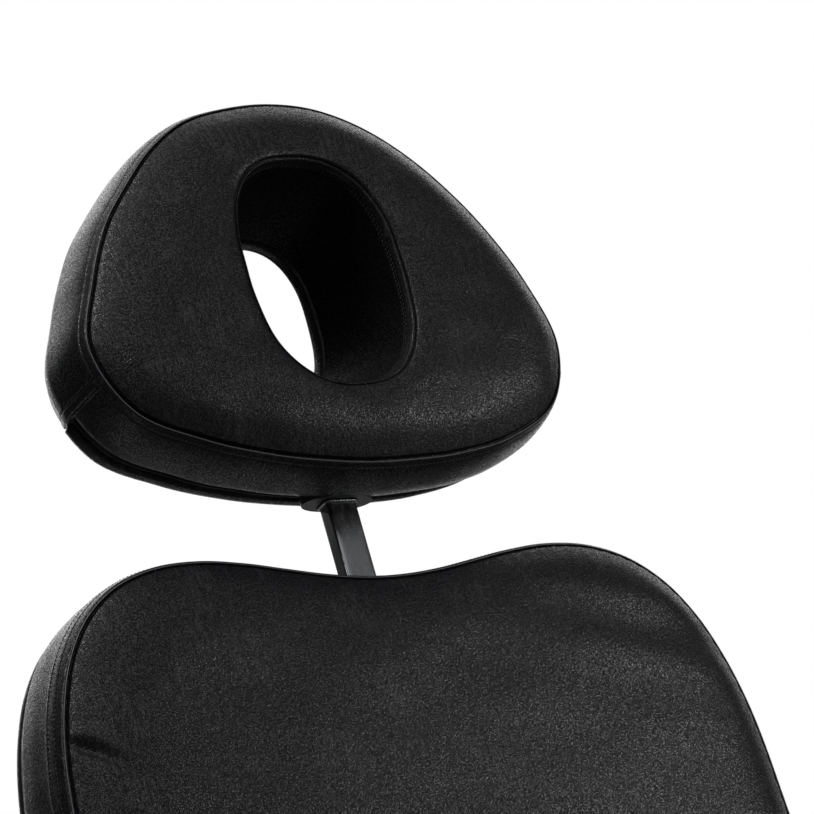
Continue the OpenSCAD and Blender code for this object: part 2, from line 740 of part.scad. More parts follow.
arm_squareness = 4;
arm_outline = rounded(arm_w, arm_len, arm_squareness, 32);
arm_crown = 10;
module arm_pad(side)
    translate([side * arm_x, arm_y - arm_pad_back - arm_len / 2, arm_z + bar_side / 2])
        cushion(arm_outline, arm_t - arm_crown, arm_crown);
module arm_pad_left() color(black_leather) arm_pad(-1);
module arm_pad_right() color(black_leather) arm_pad(1);

// Column and base

ram_foot = 80;
collar_h = 10;
hub_foot = 305;
spigot_d = 25;
spigot_h = 40;
module ram_rod() color(chrome_metal) {
    translate([0, 0, ram_foot]) cylinder(d = ram_d, h = hub_foot - ram_foot);
    translate([0, 0, hub_foot]) cylinder(d = spigot_d, h = spigot_h);
}

module swivel_hub() color(chrome_metal) difference() {
    translate([0, 0, hub_foot]) cylinder(d = hub_d, h = frame_z - top_plate_t - hub_foot);
    translate([0, 0, hub_foot - over]) cylinder(d = spigot_d + 2 * fit, h = spigot_h + 2 * over);
}

pump_bore = 60;
pump_floor = 12;
module pump_body() color(chrome_metal) difference() {
    union() {
        translate([0, 0, base_t]) cylinder(d = pump_d, h = pump_top - base_t);
        pedal_ears();
    }
    translate([0, 0, base_t + pump_floor]) cylinder(d = pump_bore, h = pump_top);
    translate([pedal_x, 0, pedal_z]) rotate([90, 0, 0])
        cylinder(d = pedal_pin_d + 2 * fit, h = pump_d, center = true);
}

pump_lip = 3;
module pump_collar() color(black_metal) translate([0, 0, pump_top]) difference() {
    cylinder(d = pump_d + 2 * pump_lip, h = collar_h);
    translate([0, 0, -over]) cylinder(d = ram_d + 2 * fit, h = collar_h + 2 * over);
}

pedal_x = 78;
pedal_z = 104;
pedal_pin_d = 12;
pedal_w = 30;
pedal_ear_t = 8;
pedal_ear_h = 36;
module pedal_ears() for (side = [-1, 1])
    translate([pump_d / 4, side * (pedal_w / 2 + side_gap) + (side - 1) / 2 * pedal_ear_t,
            pedal_z - pedal_ear_h / 2]) {
        cube([pedal_x - pump_d / 4, pedal_ear_t, pedal_ear_h]);
        translate([pedal_x - pump_d / 4, 0, pedal_ear_h / 2]) rotate([-90, 0, 0])
            cylinder(d = pedal_ear_h, h = pedal_ear_t);
    }

pin_half = pedal_w / 2 + side_gap + pedal_ear_t;
module pedal_pin() color(zinc_steel) translate([pedal_x, 0, pedal_z]) rotate([90, 0, 0]) {
    cylinder(d = pedal_pin_d, h = 2 * pin_half, center = true);
    for (side = [-1, 1]) translate([0, 0, side * (pin_half + pin_head_t / 2)])
        cylinder(r = pin_head_r, h = pin_head_t, center = true);
}

pedal_bar_h = 16;
pedal_pad_len = 80;
pedal_pad_w = 60;
pedal_pad_t = 12;
module pedal_arm() color(chrome_metal) translate([0, 0, pedal_z]) difference() {
    union() {
        translate([pedal_x, 0, 0]) rotate([90, 0, 0])
            cylinder(d = pedal_w, h = pedal_w, center = true);
        translate([pedal_x, -pedal_w / 2, -pedal_bar_h / 2])
            cube([pedal_reach - pedal_x, pedal_w, pedal_bar_h]);
    }
    translate([pedal_x, 0, 0]) rotate([90, 0, 0])
        cylinder(d = pedal_pin_d + 2 * fit, h = 2 * pedal_w, center = true);
}
module pedal_pad() color(black_rubber)
    translate([pedal_reach - pedal_pad_len, -pedal_pad_w / 2, pedal_z + pedal_bar_h / 2])
        cube([pedal_pad_len, pedal_pad_w, pedal_pad_t]);

rim_w = 5;
rim_h = 12;
module base_plate() color(black_metal) cylinder(d = base_d - 2 * rim_w, h = base_t, $fn = 128);
module base_rim() color(black_rubber) difference() {
    cylinder(d = base_d, h = rim_h, $fn = 128);
    translate([0, 0, -over]) cylinder(d = base_d - 2 * rim_w, h = rim_h + 2 * over, $fn = 128);
}

cover_h = 46;
cover_t = 3;
cover_edge = base_d / 2 - rim_w - over;
cover_throat = pump_d / 2 + gap;
module base_cover() color(chrome_metal) translate([0, 0, base_t]) rotate_extrude($fn = 128)
    difference() {
        polygon([for (i = [0 : 12]) let (a = 90 * i / 12)
            [cover_throat + (cover_edge - cover_throat) * sin(a), cover_h * cos(a)]]);
        polygon([for (i = [0 : 12]) let (a = 90 * i / 12)
            [cover_throat + cover_t + (cover_edge - cover_throat - 2 * cover_t) * sin(a),
             (cover_h - cover_t) * cos(a)]]);
    }

base_plate();
base_rim();
base_cover();
pump_body();
pump_collar();
pedal_pin();
pedal_arm();
pedal_pad();
ram_rod();
swivel_hub();
top_plate();
seat_rail_left();
seat_rail_right();
seat_cross_tubes();
seat_tube_caps();
seat_board();
seat_cushion();
back_hinge_plates();
leg_hinge_plates();
back_hinge_pins();
leg_hinge_pins();
spring_clevises();
arm_outriggers();
arm_posts();
arm_hinge_cheeks();
arm_pins();
arm_bar_left();
arm_bar_right();
arm_pad_left();
arm_pad_right();
leg_rails();
leg_tube_caps();
leg_cross_tube();
leg_lever();
leg_board();
leg_cushion();
back_rails();
back_tube_caps();
back_cross_tubes();
back_lever();
back_ears();
back_board();
back_cushion();
back_panel();
headrest_receiver();
headrest_knob();
headrest_post();
headrest_collar();
headrest_plate();
headrest_cushion();
headrest_rear_pad();
back_spring_rod();
back_spring_cylinder();
leg_spring_rod();
leg_spring_cylinder();
back_release();
leg_release();
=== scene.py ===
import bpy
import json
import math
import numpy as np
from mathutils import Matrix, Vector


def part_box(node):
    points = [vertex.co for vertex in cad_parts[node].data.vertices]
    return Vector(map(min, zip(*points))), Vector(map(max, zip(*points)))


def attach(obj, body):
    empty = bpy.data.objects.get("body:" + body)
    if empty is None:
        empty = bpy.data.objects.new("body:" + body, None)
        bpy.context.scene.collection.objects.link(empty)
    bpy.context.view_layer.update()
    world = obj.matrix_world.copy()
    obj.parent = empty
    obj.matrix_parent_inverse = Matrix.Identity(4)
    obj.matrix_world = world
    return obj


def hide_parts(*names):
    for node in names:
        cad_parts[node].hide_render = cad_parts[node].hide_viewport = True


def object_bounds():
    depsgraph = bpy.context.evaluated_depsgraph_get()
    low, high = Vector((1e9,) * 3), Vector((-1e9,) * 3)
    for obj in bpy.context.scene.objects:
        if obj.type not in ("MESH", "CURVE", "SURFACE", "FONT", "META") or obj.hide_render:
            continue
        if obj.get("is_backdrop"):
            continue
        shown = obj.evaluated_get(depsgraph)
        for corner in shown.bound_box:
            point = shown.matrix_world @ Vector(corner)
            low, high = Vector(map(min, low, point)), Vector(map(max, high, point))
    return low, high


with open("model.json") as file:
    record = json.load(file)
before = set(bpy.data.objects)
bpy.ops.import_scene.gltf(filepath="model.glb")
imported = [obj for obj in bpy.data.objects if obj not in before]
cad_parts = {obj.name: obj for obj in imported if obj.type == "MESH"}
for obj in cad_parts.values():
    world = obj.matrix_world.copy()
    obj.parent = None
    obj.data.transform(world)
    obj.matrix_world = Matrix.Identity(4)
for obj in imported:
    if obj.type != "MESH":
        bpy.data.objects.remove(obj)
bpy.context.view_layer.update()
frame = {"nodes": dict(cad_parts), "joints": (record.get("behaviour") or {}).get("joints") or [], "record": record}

# %% [markdown]
# # A beauty treatment chair in black leatherette
# The photo shows the padded headrest with its face hole, the post that carries it and
# the top of the wide backrest. The rest of the chair stands under them as such chairs
# are built: seat, legrest, folding arms, gas springs, a foot pump and a round base.
# The frame gives every metal piece its shape. The upholstery is sewn anew here.

scene = bpy.context.scene
joints = {j["name"]: j for j in frame["joints"]}
MM = 0.001

# %% [markdown]
# ## Directions of the back
# The headrest and the backrest share one leaning plane. The headrest slides along it,
# so that joint's axis gives the way up, and the recline hinge gives its foot.

# %% Directions
hinge = np.array(joints["back_recline"]["pos_m"])
up = np.array(joints["headrest_height"]["axis"])
across = np.array([1.0, 0.0, 0.0])
rear = np.array([0.0, up[2], -up[1]])
# metres: the seams of headrest and backrest stand before the hinge's plane, the post in it
head_up, head_before, back_before = 0.890, 0.0515, 0.0332
head = hinge + head_up * up - head_before * rear
post_axis = head + head_before * rear
back_seam = hinge - back_before * rear


def leaning(origin, points):
    """Points given in mm as (x, up the back, to the rear), placed in the frame."""
    p = np.asarray(points, float) * MM
    return origin + p[..., 0:1] * across + p[..., 1:2] * up + p[..., 2:3] * rear


def level(origin, points):
    """Points given in mm as (x, y, down), placed flat."""
    p = np.asarray(points, float) * MM
    return np.asarray(origin) + p * np.array([1.0, 1.0, -1.0])


print("headrest centre", head.round(4), "hinge", hinge.round(4))

# %% [markdown]
# ## Outlines
# A pad is cut to a paper pattern. Each outline here goes smoothly through a few points
# of that pattern and is then cut into equal steps, so that stitches come out even.


# %% Outline functions
def smooth_outline(points, count):
    """A smooth closed curve through the points, in equal steps."""
    p = np.asarray(points, float)
    t = np.linspace(0, 1, 24, endpoint=False)[:, None]
    a, b, c, d = (np.roll(p, s, axis=0)[:, None] for s in (1, 0, -1, -2))
    curve = (2 * b + (c - a) * t + (2 * a - 5 * b + 4 * c - d) * t ** 2
             + (3 * b - a - 3 * c + d) * t ** 3) / 2
    return even_steps(curve.reshape(-1, 2), count)


def run_along(curve):
    """Distances along a closed curve, from its first point round to it again."""
    closed = np.vstack([curve, curve[:1]])
    return np.concatenate([[0], np.cumsum(np.linalg.norm(np.diff(closed, axis=0), axis=1))])


def table_at(values, run, at):
    """Values given all along a closed run, read at these distances."""
    closed = np.vstack([values, values[:1]])
    return np.column_stack([np.interp(at, run, closed[:, k]) for k in range(values.shape[1])])


def points_at(curve, at):
    """Points of a closed curve at these distances along it."""
    return table_at(curve, run_along(curve), at)


def even_steps(curve, count):
    return points_at(curve, np.linspace(0, run_along(curve)[-1], count, endpoint=False))


def mirrored(half):
    half = np.asarray(half, float)
    return np.vstack([half, half[-2:0:-1] * [-1, 1]])


def bent(v, power):
    """A sine or cosine bent so that the round drawn with it turns squarer."""
    return np.sign(v) * np.abs(v) ** power


def superellipse(w, h, power, count):
    a = np.linspace(0, 2 * math.pi, 4000, endpoint=False)
    curve = np.column_stack([w / 2 * bent(np.sin(a), 2 / power),
                             h / 2 * bent(np.cos(a), 2 / power)])
    return even_steps(curve, count)


def unit(vectors):
    """The same directions, each of length 1."""
    return vectors / np.linalg.norm(vectors, axis=-1, keepdims=True)


def outward(outline):
    """Unit normals that point out of a clockwise outline."""
    t = unit(np.roll(outline, -1, axis=0) - np.roll(outline, 1, axis=0))
    return np.column_stack([-t[:, 1], t[:, 0]])


def through(x, xs, ys):
    """A smooth curve through points that doesn't overshoot them."""
    xs, ys = np.asarray(xs, float), np.asarray(ys, float)
    h, d = np.diff(xs), np.diff(ys) / np.diff(xs)
    m = np.zeros(len(xs))
    same = d[1:] * d[:-1] > 0
    m[1:-1][same] = 2 * d[1:][same] * d[:-1][same] / (d[1:] + d[:-1])[same]
    m[0], m[-1] = d[0], d[-1]
    x = np.clip(x, xs[0], xs[-1])
    i = np.clip(np.searchsorted(xs, x) - 1, 0, len(h) - 1)
    t = (x - xs[i]) / h[i]
    return (ys[i] * (1 + 2 * t) * (1 - t) ** 2 + ys[i + 1] * t * t * (3 - 2 * t)
            + h[i] * (m[i] * t * (1 - t) ** 2 - m[i + 1] * t * t * (1 - t)))


def edge_distance(points, outline):
    """How far inside the outline each point lies, in mm."""
    out = np.empty(len(points))
    for k in range(0, len(points), 4000):
        part = points[k:k + 4000, None, :2]
        out[k:k + 4000] = np.sqrt(((part - outline[None]) ** 2).sum(2).min(1))
    return out


def waves(x, y, lengths, seed):
    """Soft unevenness from a few long waves, between about -1 and 1."""
    r = np.random.default_rng(seed)
    total = 0
    for length in lengths:
        a, p = r.uniform(0, math.pi), r.uniform(0, 2 * math.pi)
        total = total + np.sin((x * math.cos(a) + y * math.sin(a)) * 2 * math.pi / length + p)
    return total / math.sqrt(len(lengths)) / 1.4


# %% [markdown]
# ## From rings to a cover
# Every cover is a skin through rings of the same count of points. Rings stand close
# together at a seam, where the skin turns sharply, and further apart on the flat.


# %% Mesh functions
def skin(name, rings, closed_end=True, joined=False):
    """A skin through rings of points in metres. closed_end fills the last ring."""
    rings = [np.asarray(r) for r in rings]
    n, m = len(rings[0]), len(rings)
    verts = np.vstack(rings)
    i = np.arange(n)
    j = (i + 1) % n
    faces = []
    for k in range(m if joined else m - 1):
        a, b = k * n, ((k + 1) % m) * n
        faces += np.column_stack([a + i, a + j, b + j, b + i]).tolist()
    if closed_end and not joined:
        verts = np.vstack([verts, rings[-1].mean(0)])
        faces += np.column_stack([(m - 1) * n + i, (m - 1) * n + j,
                                  np.full(n, len(verts) - 1)]).tolist()
    return solid(name, verts, faces)


def solid(name, verts, faces, smooth=True):
    mesh = bpy.data.meshes.new(name)
    mesh.from_pydata(np.asarray(verts).tolist(), [], faces)
    if smooth:
        mesh.shade_smooth()
    mesh.update()
    piece = bpy.data.objects.new(name, mesh)
    scene.collection.objects.link(piece)
    return piece


def facing(piece, middle):
    """Turns the faces outwards, as seen from a point inside the piece."""
    mesh = piece.data
    p = np.array([f.center for f in mesh.polygons]) - middle
    n = np.array([f.normal for f in mesh.polygons])
    if (p * n).sum() < 0:
        mesh.flip_normals()
    return piece


def stitches(name, path, lift, pitch=3.2, length=2.3, thick=0.55):
    """A row of thread stitches in metres along a closed path. lift points out of the leather."""
    run = run_along(path)
    count = max(4, int(run[-1] / (pitch * MM)))
    mids = np.arange(count) * run[-1] / count

    def at(s, values=path):
        return table_at(values, run, s % run[-1])

    # a stitch as share of its length: it rises out of its needle hole, swells and dives again
    sides, stops = 6, [-0.5, -0.38, 0, 0.38, 0.5]
    sink = [-0.5, 0.1, 0.32, 0.1, -0.5]
    grow = [0.35, 0.9, 1, 0.9, 0.35]
    tangent = unit(at(mids + 0.5 * MM) - at(mids))
    out = at(mids, lift)
    out = unit(out - (out * tangent).sum(1)[:, None] * tangent)
    side = np.cross(tangent, out)
    verts, faces = [], []
    for stop, low, wide in zip(stops, sink, grow):
        for q in range(sides):
            a = 2 * math.pi * q / sides
            r = thick / 2 * wide * MM
            verts.append(at(mids + stop * length * MM) + out * (low * thick * MM)
                         + out * (r * math.cos(a)) + side * (r * math.sin(a)))
    verts = np.stack(verts, 1).reshape(-1, 3)
    per = sides * len(stops)
    for s in range(count):
        for k in range(len(stops) - 1):
            for q in range(sides):
                a = s * per + k * sides
                faces.append([a + q, a + (q + 1) % sides,
                              a + sides + (q + 1) % sides, a + sides + q])
    return solid(name, verts, faces)


# %% [markdown]
# ## Finishes
# One small function adds a shader node. Colours are given as on a paint card and turned
# to linear light once.


# %% Shader functions
def srgb(code):
    v = [int(code[k:k + 2], 16) / 255 for k in (1, 3, 5)]
    return [c / 12.92 if c <= 0.04045 else ((c + 0.055) / 1.055) ** 2.4 for c in v] + [1]


def feed(node, inputs):
    """Sets inputs to a value, to another node's first output, or to an output."""
    for key, value in inputs.items():
        if isinstance(value, bpy.types.Node):
            value = value.outputs[0]
        if isinstance(value, bpy.types.NodeSocket):
            node.id_data.links.new(value, node.inputs[key])
        else:
            node.inputs[key].default_value = value


def add(tree, kind, inputs=(), **settings):
    """One node with its settings and inputs."""
    made = tree.nodes.new("ShaderNode" + kind)
    for key, value in settings.items():
        setattr(made, key, value)
    feed(made, dict(inputs))
    return made


def finish(name, colour, roughness, metallic=0.0):
    """A plain material and its tree, principled node and object coordinates."""
    material = bpy.data.materials.new(name)
    material.use_nodes = True
    tree = material.node_tree
    shader = tree.nodes["Principled BSDF"]
    feed(shader, {"Base Color": srgb(colour), "Roughness": roughness, "Metallic": metallic})
    return material, tree, shader, add(tree, "TexCoord").outputs["Object"]


# %% [markdown]
# ### Leatherette
# The real cover is a polyurethane coat on knitted cloth. It is cast on a paper with a
# leather grain, so it carries fine pebbles about 0.6 mm across, and where it is pulled
# over foam it shows faint hairline creases along the pull. The coat is black and
# half-matt: a broad sheen at grazing angles and small sparks on the pebbles.


# %% Leatherette
def leatherette(name, valley="#060607", top="#1f1f22", roughness=0.36, crease=0.00005,
                gloss_range=(0.11, 0.44), creased=0.2):
    """crease is the creases' height in metres, creased how much paler they are, top the lighter colour painted on
    the grain's tops as a highlight.
    """
    material, tree, shader, place = finish(name, valley, roughness)
    grain = 0.00007
    # scales are per metre: real grain is 0.6 mm wide and drawn at 0.9 mm, because finer
    # grain vanishes at this distance, and it stands in soft pebbles some 2 mm across
    fine = add(tree, "TexNoise", {
        "Vector": place, "Scale": 1150.0, "Detail": 1.5, "Roughness": 0.6})
    pebbles = add(tree, "TexVoronoi", {
        "Vector": place, "Scale": 480.0, "Smoothness": 0.3}, feature="SMOOTH_F1")
    # creases stand some 4 mm apart and run on for some 30 mm along the pull
    along = add(tree, "VectorMath", {0: place, 1: list(up)}, operation="DOT_PRODUCT")
    split = add(tree, "SeparateXYZ", {"Vector": place})
    wide = add(tree, "Math", {0: split.outputs["X"], 1: 260.0}, operation="MULTIPLY")
    long = add(tree, "Math", {0: along.outputs["Value"], 1: 30.0}, operation="MULTIPLY")
    hair = add(tree, "CombineXYZ", {"X": wide, "Y": long})
    lines = add(tree, "TexNoise", {
        "Vector": hair, "Scale": 1.0, "Detail": 3.0, "Distortion": 0.6})
    thin = add(tree, "Math", {0: lines, 1: 0.5}, operation="SUBTRACT")
    thin = add(tree, "Math", {0: thin}, operation="ABSOLUTE")
    ridge = add(tree, "MapRange", {
        "Value": thin, "From Min": 0.0, "From Max": 0.03, "To Min": 1.0, "To Max": 0.0})
    patch = add(tree, "TexNoise", {"Vector": place, "Scale": 26.0, "Detail": 1.0})
    mask = add(tree, "MapRange", {
        "Value": patch, "From Min": 0.5, "From Max": 0.6}, interpolation_type="SMOOTHSTEP")
    creases = add(tree, "Math", {0: ridge, 1: mask}, operation="MULTIPLY")
    first = add(tree, "Bump", {"Height": creases, "Distance": crease})
    second = add(tree, "Bump", {
        "Height": pebbles, "Distance": grain * 1.6, "Normal": first},
        invert=True)
    third = add(tree, "Bump", {"Height": fine, "Distance": grain * 3.4, "Normal": second})
    # painted highlight: the tops of the grain are coloured a shade lighter than the valleys, standing in for light
    # that catches them, and they are glossier
    lit_tops = add(tree, "MapRange", {"Value": fine, "From Min": 0.49, "From Max": 0.60})
    light = add(tree, "Math", {
        0: creases, 1: 0.2, 2: lit_tops}, operation="MULTIPLY_ADD", use_clamp=True)
    shade = add(tree, "Mix", {0: light, 6: srgb(valley), 7: srgb(top)}, data_type="RGBA")
    stretch = add(tree, "Math", {0: creases, 1: creased}, operation="MULTIPLY")
    pale = add(tree, "Mix", {
        0: stretch, 6: shade.outputs[2], 7: srgb("#404041")}, data_type="RGBA")
    rough = add(tree, "MapRange", {
        "Value": light, "To Min": roughness + 0.14, "To Max": roughness - 0.13})
    gloss = add(tree, "MapRange", {
        "Value": light, "To Min": gloss_range[0], "To Max": gloss_range[1]})
    feed(shader, {"Normal": third, "Base Color": pale.outputs[2], "Roughness": rough,
                  "Specular IOR Level": gloss})
    return material


black = leatherette("leatherette_black")
# painted shade: the lining of the face hole is the same cover, hardly pulled, in darker colours that stand in for
# the shade deep in the hole
hole_shade_black = leatherette("leatherette_hole_shade", "#040404", "#111112", 0.6, crease=0,
                          gloss_range=(0.02, 0.1), creased=0.0)
print("covers in", black.name, "and", hole_shade_black.name)

# %% [markdown]
# ### Thread and painted seam highlight
# The thread is black bonded nylon, sunk in its furrow, so it looks a little darker than
# the cover. Where the cover folds over at the seam it catches light, and a thin bead in
# a paler grey paints that line of light on as a painted highlight.

# %% Thread
thread, tree, shader, place = finish("thread_black", "#0e0e10", 0.42)
twist = add(tree, "TexWave", {"Vector": place, "Scale": 420.0, "Distortion": 2.0})
feed(shader, {"Normal": add(tree, "Bump", {"Height": twist, "Distance": 0.00006})})
# painted highlight: the paler grey of the seam bead stands in for light on the folded edge
seam_painted_highlight = finish("seam_painted_highlight", "#4c4c52", 0.34)[0]
print("sewn with", thread.name)

# %% [markdown]
# ### Metal
# The post, column, pump and base cover are steel tube and sheet, polished and plated with
# chromium. The plate is bright but never quite clean: hand grease and wiping leave it
# cloudy in patches. The post is brushed before it is plated, so it is satin, and its plate
# is given a darker grey than the bright chrome.
# The frame is welded steel tube under black epoxy-polyester powder, which bakes to a fine
# orange peel of 1.6 mm. Pins and springs are bright zinc.

# %% Metal finishes
def plated(name, colour, smooth, cloudy, scale, lengthwise=1.0):
    """Plated steel, from smooth to cloudy in soft patches. scale counts them per metre."""
    material, tree, shader, place = finish(name, colour, smooth, 1.0)
    stretched = add(tree, "Mapping", {"Vector": place, "Scale": (1, 1, lengthwise)})
    patches = add(tree, "TexNoise", {"Vector": stretched, "Scale": scale, "Detail": 4.0})
    rough = add(tree, "MapRange", {
        "Value": patches, "From Min": 0.35, "From Max": 0.7, "To Min": smooth, "To Max": cloudy})
    feed(shader, {"Roughness": rough})
    return material, tree, shader, place


chrome = plated("chrome_plate", "#c4c6c8", 0.10, 0.22, 55.0)[0]
brushed, tree, shader, place = plated("chrome_satin", "#808183", 0.17, 0.30, 260.0, 0.06)
scuff = add(tree, "TexNoise", {"Vector": place, "Scale": 900.0, "Detail": 2.0})
feed(shader, {"Normal": add(tree, "Bump", {"Height": scuff, "Distance": 0.00002})})
zinc, tree, shader, place = plated("zinc_bright", "#b4b6b8", 0.28, 0.46, 160.0)
spangle = add(tree, "TexVoronoi", {"Vector": place, "Scale": 300.0})
feed(shader, {"Normal": add(tree, "Bump", {"Height": spangle, "Distance": 0.00003})})

powder, tree, shader, place = finish("powder_coat_black", "#17171a", 0.42)
peel = add(tree, "TexNoise", {"Vector": place, "Scale": 620.0, "Detail": 1.0})
feed(shader, {"Normal": add(tree, "Bump", {"Height": peel, "Distance": 0.00007})})
print("metal in", [m.name for m in (chrome, brushed, zinc, powder)])

# %% [markdown]
# ### Rubber, plastic and plywood
# The rim, pedal pad and grips are moulded rubber, dull and a little dusty. The collar and
# the tube caps are moulded polypropylene with a spark-eroded matt texture. The boards are
# birch plywood in 1.4 mm plies, so the sawn edge shows light and dark layers.


# %% Rubber, plastic and plywood finishes
def moulded(name, colour, dusty, roughness, depth, scale):
    """Moulded rubber or plastic, worn paler in patches. scale is its texture, per metre."""
    material, tree, shader, place = finish(name, colour, roughness)
    wear = add(tree, "TexNoise", {"Vector": place, "Scale": 30.0, "Detail": 4.0})
    much = add(tree, "MapRange", {"Value": wear, "From Min": 0.42, "From Max": 0.72})
    tone = add(tree, "Mix", {0: much, 6: srgb(colour), 7: srgb(dusty)}, data_type="RGBA")
    feed(shader, {"Base Color": tone.outputs[2]})
    eroded = add(tree, "TexNoise", {"Vector": place, "Scale": scale, "Detail": 2.0})
    feed(shader, {"Normal": add(tree, "Bump", {"Height": eroded, "Distance": depth})})
    return material


rubber = moulded("rubber_black", "#141414", "#242423", 0.68, 0.00009, 700.0)
plastic = moulded("plastic_dark_grey", "#232325", "#343436", 0.46, 0.00005, 1100.0)


PLY_PAIR = 2.8 * MM


def plywood(name, through_board):
    """Birch plywood. through_board is the direction across the plies."""
    material, tree, shader, place = finish(name, "#c9a26f", 0.6)
    deep = add(tree, "VectorMath", {0: place, 1: list(through_board)}, operation="DOT_PRODUCT")
    count = add(tree, "Math", {0: deep.outputs["Value"], 1: 1 / PLY_PAIR}, operation="MULTIPLY")
    ply = add(tree, "Math", {0: count, 1: 1.0}, operation="PINGPONG")
    edge = add(tree, "MapRange", {"Value": ply, "From Min": 0.42, "From Max": 0.58})
    stretched = add(tree, "Mapping", {"Vector": place, "Scale": (6, 90, 90)})
    grain = add(tree, "TexNoise", {
        "Vector": stretched, "Scale": 3.0, "Detail": 5.0, "Distortion": 0.8})
    light = add(tree, "Mix", {0: grain, 6: srgb("#b98f5c"), 7: srgb("#dcbc8c")}, data_type="RGBA")
    dark = add(tree, "Mix", {0: grain, 6: srgb("#8a6238"), 7: srgb("#b08650")}, data_type="RGBA")
    plies = add(tree, "Mix", {0: edge, 6: dark.outputs[2], 7: light.outputs[2]}, data_type="RGBA")
    feed(shader, {"Base Color": plies.outputs[2]})
    feed(shader, {"Normal": add(tree, "Bump", {"Height": grain, "Distance": 0.0001})})
    return material


# the legrest hangs 35 degrees down at rest
drop = math.radians(35)
leg_in = np.array([0, math.cos(drop), math.sin(drop)])
leg_up = np.array([0, -math.sin(drop), math.cos(drop)])
board_level = plywood("plywood_level", (0, 0, 1))
board_back = plywood("plywood_back", rear)
board_leg = plywood("plywood_leg", leg_up)
print("boards in", [m.name for m in (board_level, board_back, board_leg)])

# %% Finishes on the frame's pieces
by_slot = {"chrome_plate": chrome, "zinc_plated_steel": zinc, "black_powder_coat": powder,
           "black_rubber": rubber, "grey_plastic": plastic, "birch_plywood": board_level,
           "black_leatherette": black}
special = {"back_board": board_back, "leg_board": board_leg}
for part in frame["record"]["subparts"]:
    piece = frame["nodes"][part["node"]]
    piece.data.materials.clear()
    piece.data.materials.append(special.get(part["node"], by_slot[part["material_slot"]]))
print("finishes on", len(frame["nodes"]), "pieces of the frame")

# %% [markdown]
# ## Rounded edges
# Tube is rolled with rounded corners, and cut plate is tumbled before it is plated. A thin
# bevel gives these edges the light line that they have on the real chair.

# %% Edges
# node, width of the rounding in mm, steps
rounded = [("headrest_collar", 0.8, 2), ("headrest_receiver", 1.2, 2), ("pedal_arm", 1.0, 2),
           ("top_plate", 1.0, 2), ("back_board", 0.6, 1), ("seat_board", 0.6, 1),
           ("leg_board", 0.6, 1), ("back_rails", 2.0, 2), ("seat_rail_left", 2.5, 2),
           ("seat_rail_right", 2.5, 2), ("seat_cross_tubes", 2.0, 2),
           ("back_cross_tubes", 2.0, 2)]
for node, wide, steps in rounded:
    rounding = frame["nodes"][node].modifiers.new("rounded_edges", "BEVEL")
    rounding.width, rounding.segments = wide * MM, steps
    rounding.limit_method, rounding.angle_limit = "ANGLE", math.radians(40)
    rounding.harden_normals = True
print("rounded edges on", len(rounded), "pieces")

# %% [markdown]
# ## Headrest outline and face hole
# The pattern is widest below its middle and drawn in to a narrow foot. The cover is
# pulled over the foam by hand, so its seam isn't quite even left and right. The hole
# for the face narrows towards the rear.

# %% Headrest shapes
COUNT = 720
head_pattern = [(0, 140.7), (36.9, 137.8), (71.9, 124.6), (102.9, 102.9), (129.7, 74.9),
                (153.1, 41.2), (172.9, -0.7), (183.8, -49.4), (165.3, -95.3),
                (121.3, -121.2), (75.3, -132.3), (36.3, -135.9), (0, -136.8),
                (-36.1, -134.3), (-74.7, -128.8), (-119.8, -117.3), (-165.9, -95.8),
                (-187.6, -49.8), (-172.8, -0.7), (-153, 41.1), (-128.3, 73.8),
                (-102.4, 102.2), (-71.8, 124.2), (-36.3, 135.6)]
fine_outline = smooth_outline(head_pattern, 9600)
fine_run = run_along(fine_outline)
joins = [fine_run[np.argmin(np.hypot(*(fine_outline - p).T))]
         for p in ((178.0, -76.0), (-180.9, -73.7))]
lap = 6.5  # mm that one piece of the band lies over the other
# points stand up to five times closer where the band is lapped
crowding = 1 + 4 * sum(np.exp(-((fine_run - j) / 9) ** 4) for j in joins)
crowd = (crowding[1:] + crowding[:-1]) / 2 * np.diff(fine_run)
filled = np.concatenate([[0], np.cumsum(crowd)])
head_run = np.interp(np.arange(COUNT) * filled[-1] / COUNT, filled, fine_run)
head_outline = points_at(fine_outline, head_run)
head_normal = table_at(outward(fine_outline), fine_run, head_run)
print("headrest outline", np.ptp(head_outline, axis=0).round(1), "mm")


# half width, half height and middle of the face hole in mm, at its front and at its rear
hole_front, hole_rear = (61.5, 86.5, 2.5), (42.5, 60.1, 13.8)
hole_from, hole_long = -15, 110
SQUARISH = 0.8


def hole_ring(depth, grow=0.0):
    """The hole at a depth in mm behind the seam, matched to the outline by direction."""
    share = (depth - hole_from) / hole_long
    half_w, half_h, middle = (f + (r - f) * share for f, r in zip(hole_front, hole_rear))
    a = np.arctan2(head_outline[:, 0], head_outline[:, 1])
    return np.column_stack([(half_w + grow) * bent(np.sin(a), SQUARISH),
                            (half_h + grow) * bent(np.cos(a), SQUARISH) + middle])


def ring(flat, depth):
    """A flat ring at a depth in mm."""
    return np.column_stack([flat, np.broadcast_to(depth, len(flat))])


def inward(outline, normal, steps, rim, count):
    """Flat points of rings from an outline inwards, by steps in mm and evenly on to a rim."""
    rings = [ring(outline - normal * d, 0.0) for d in steps]
    last = rings[-1][:, :2]
    rings += [ring(last + (rim - last) * t, 0.0) for t in np.linspace(0, 1, count)[1:]]
    return np.vstack(rings)


def dip(at, where, wide):
    """A narrow furrow of depth 1 across a line of positions."""
    return np.exp(-((np.asarray(at) - where) / wide) ** 2)


# %% [markdown]
# ## Headrest cover
# The face is one piece of leatherette sewn to a side band. The seam pulls both down
# into a sharp groove, and the face rolls over from it like a cushion. The band is
# filled with foam as well and swells by some 7 mm. It is made of two pieces: a deep one
# round the top and sides that reaches over the rear shell, and a shallower one under
# the chin with a welt behind it. Each join is lapped and shows as two furrows.

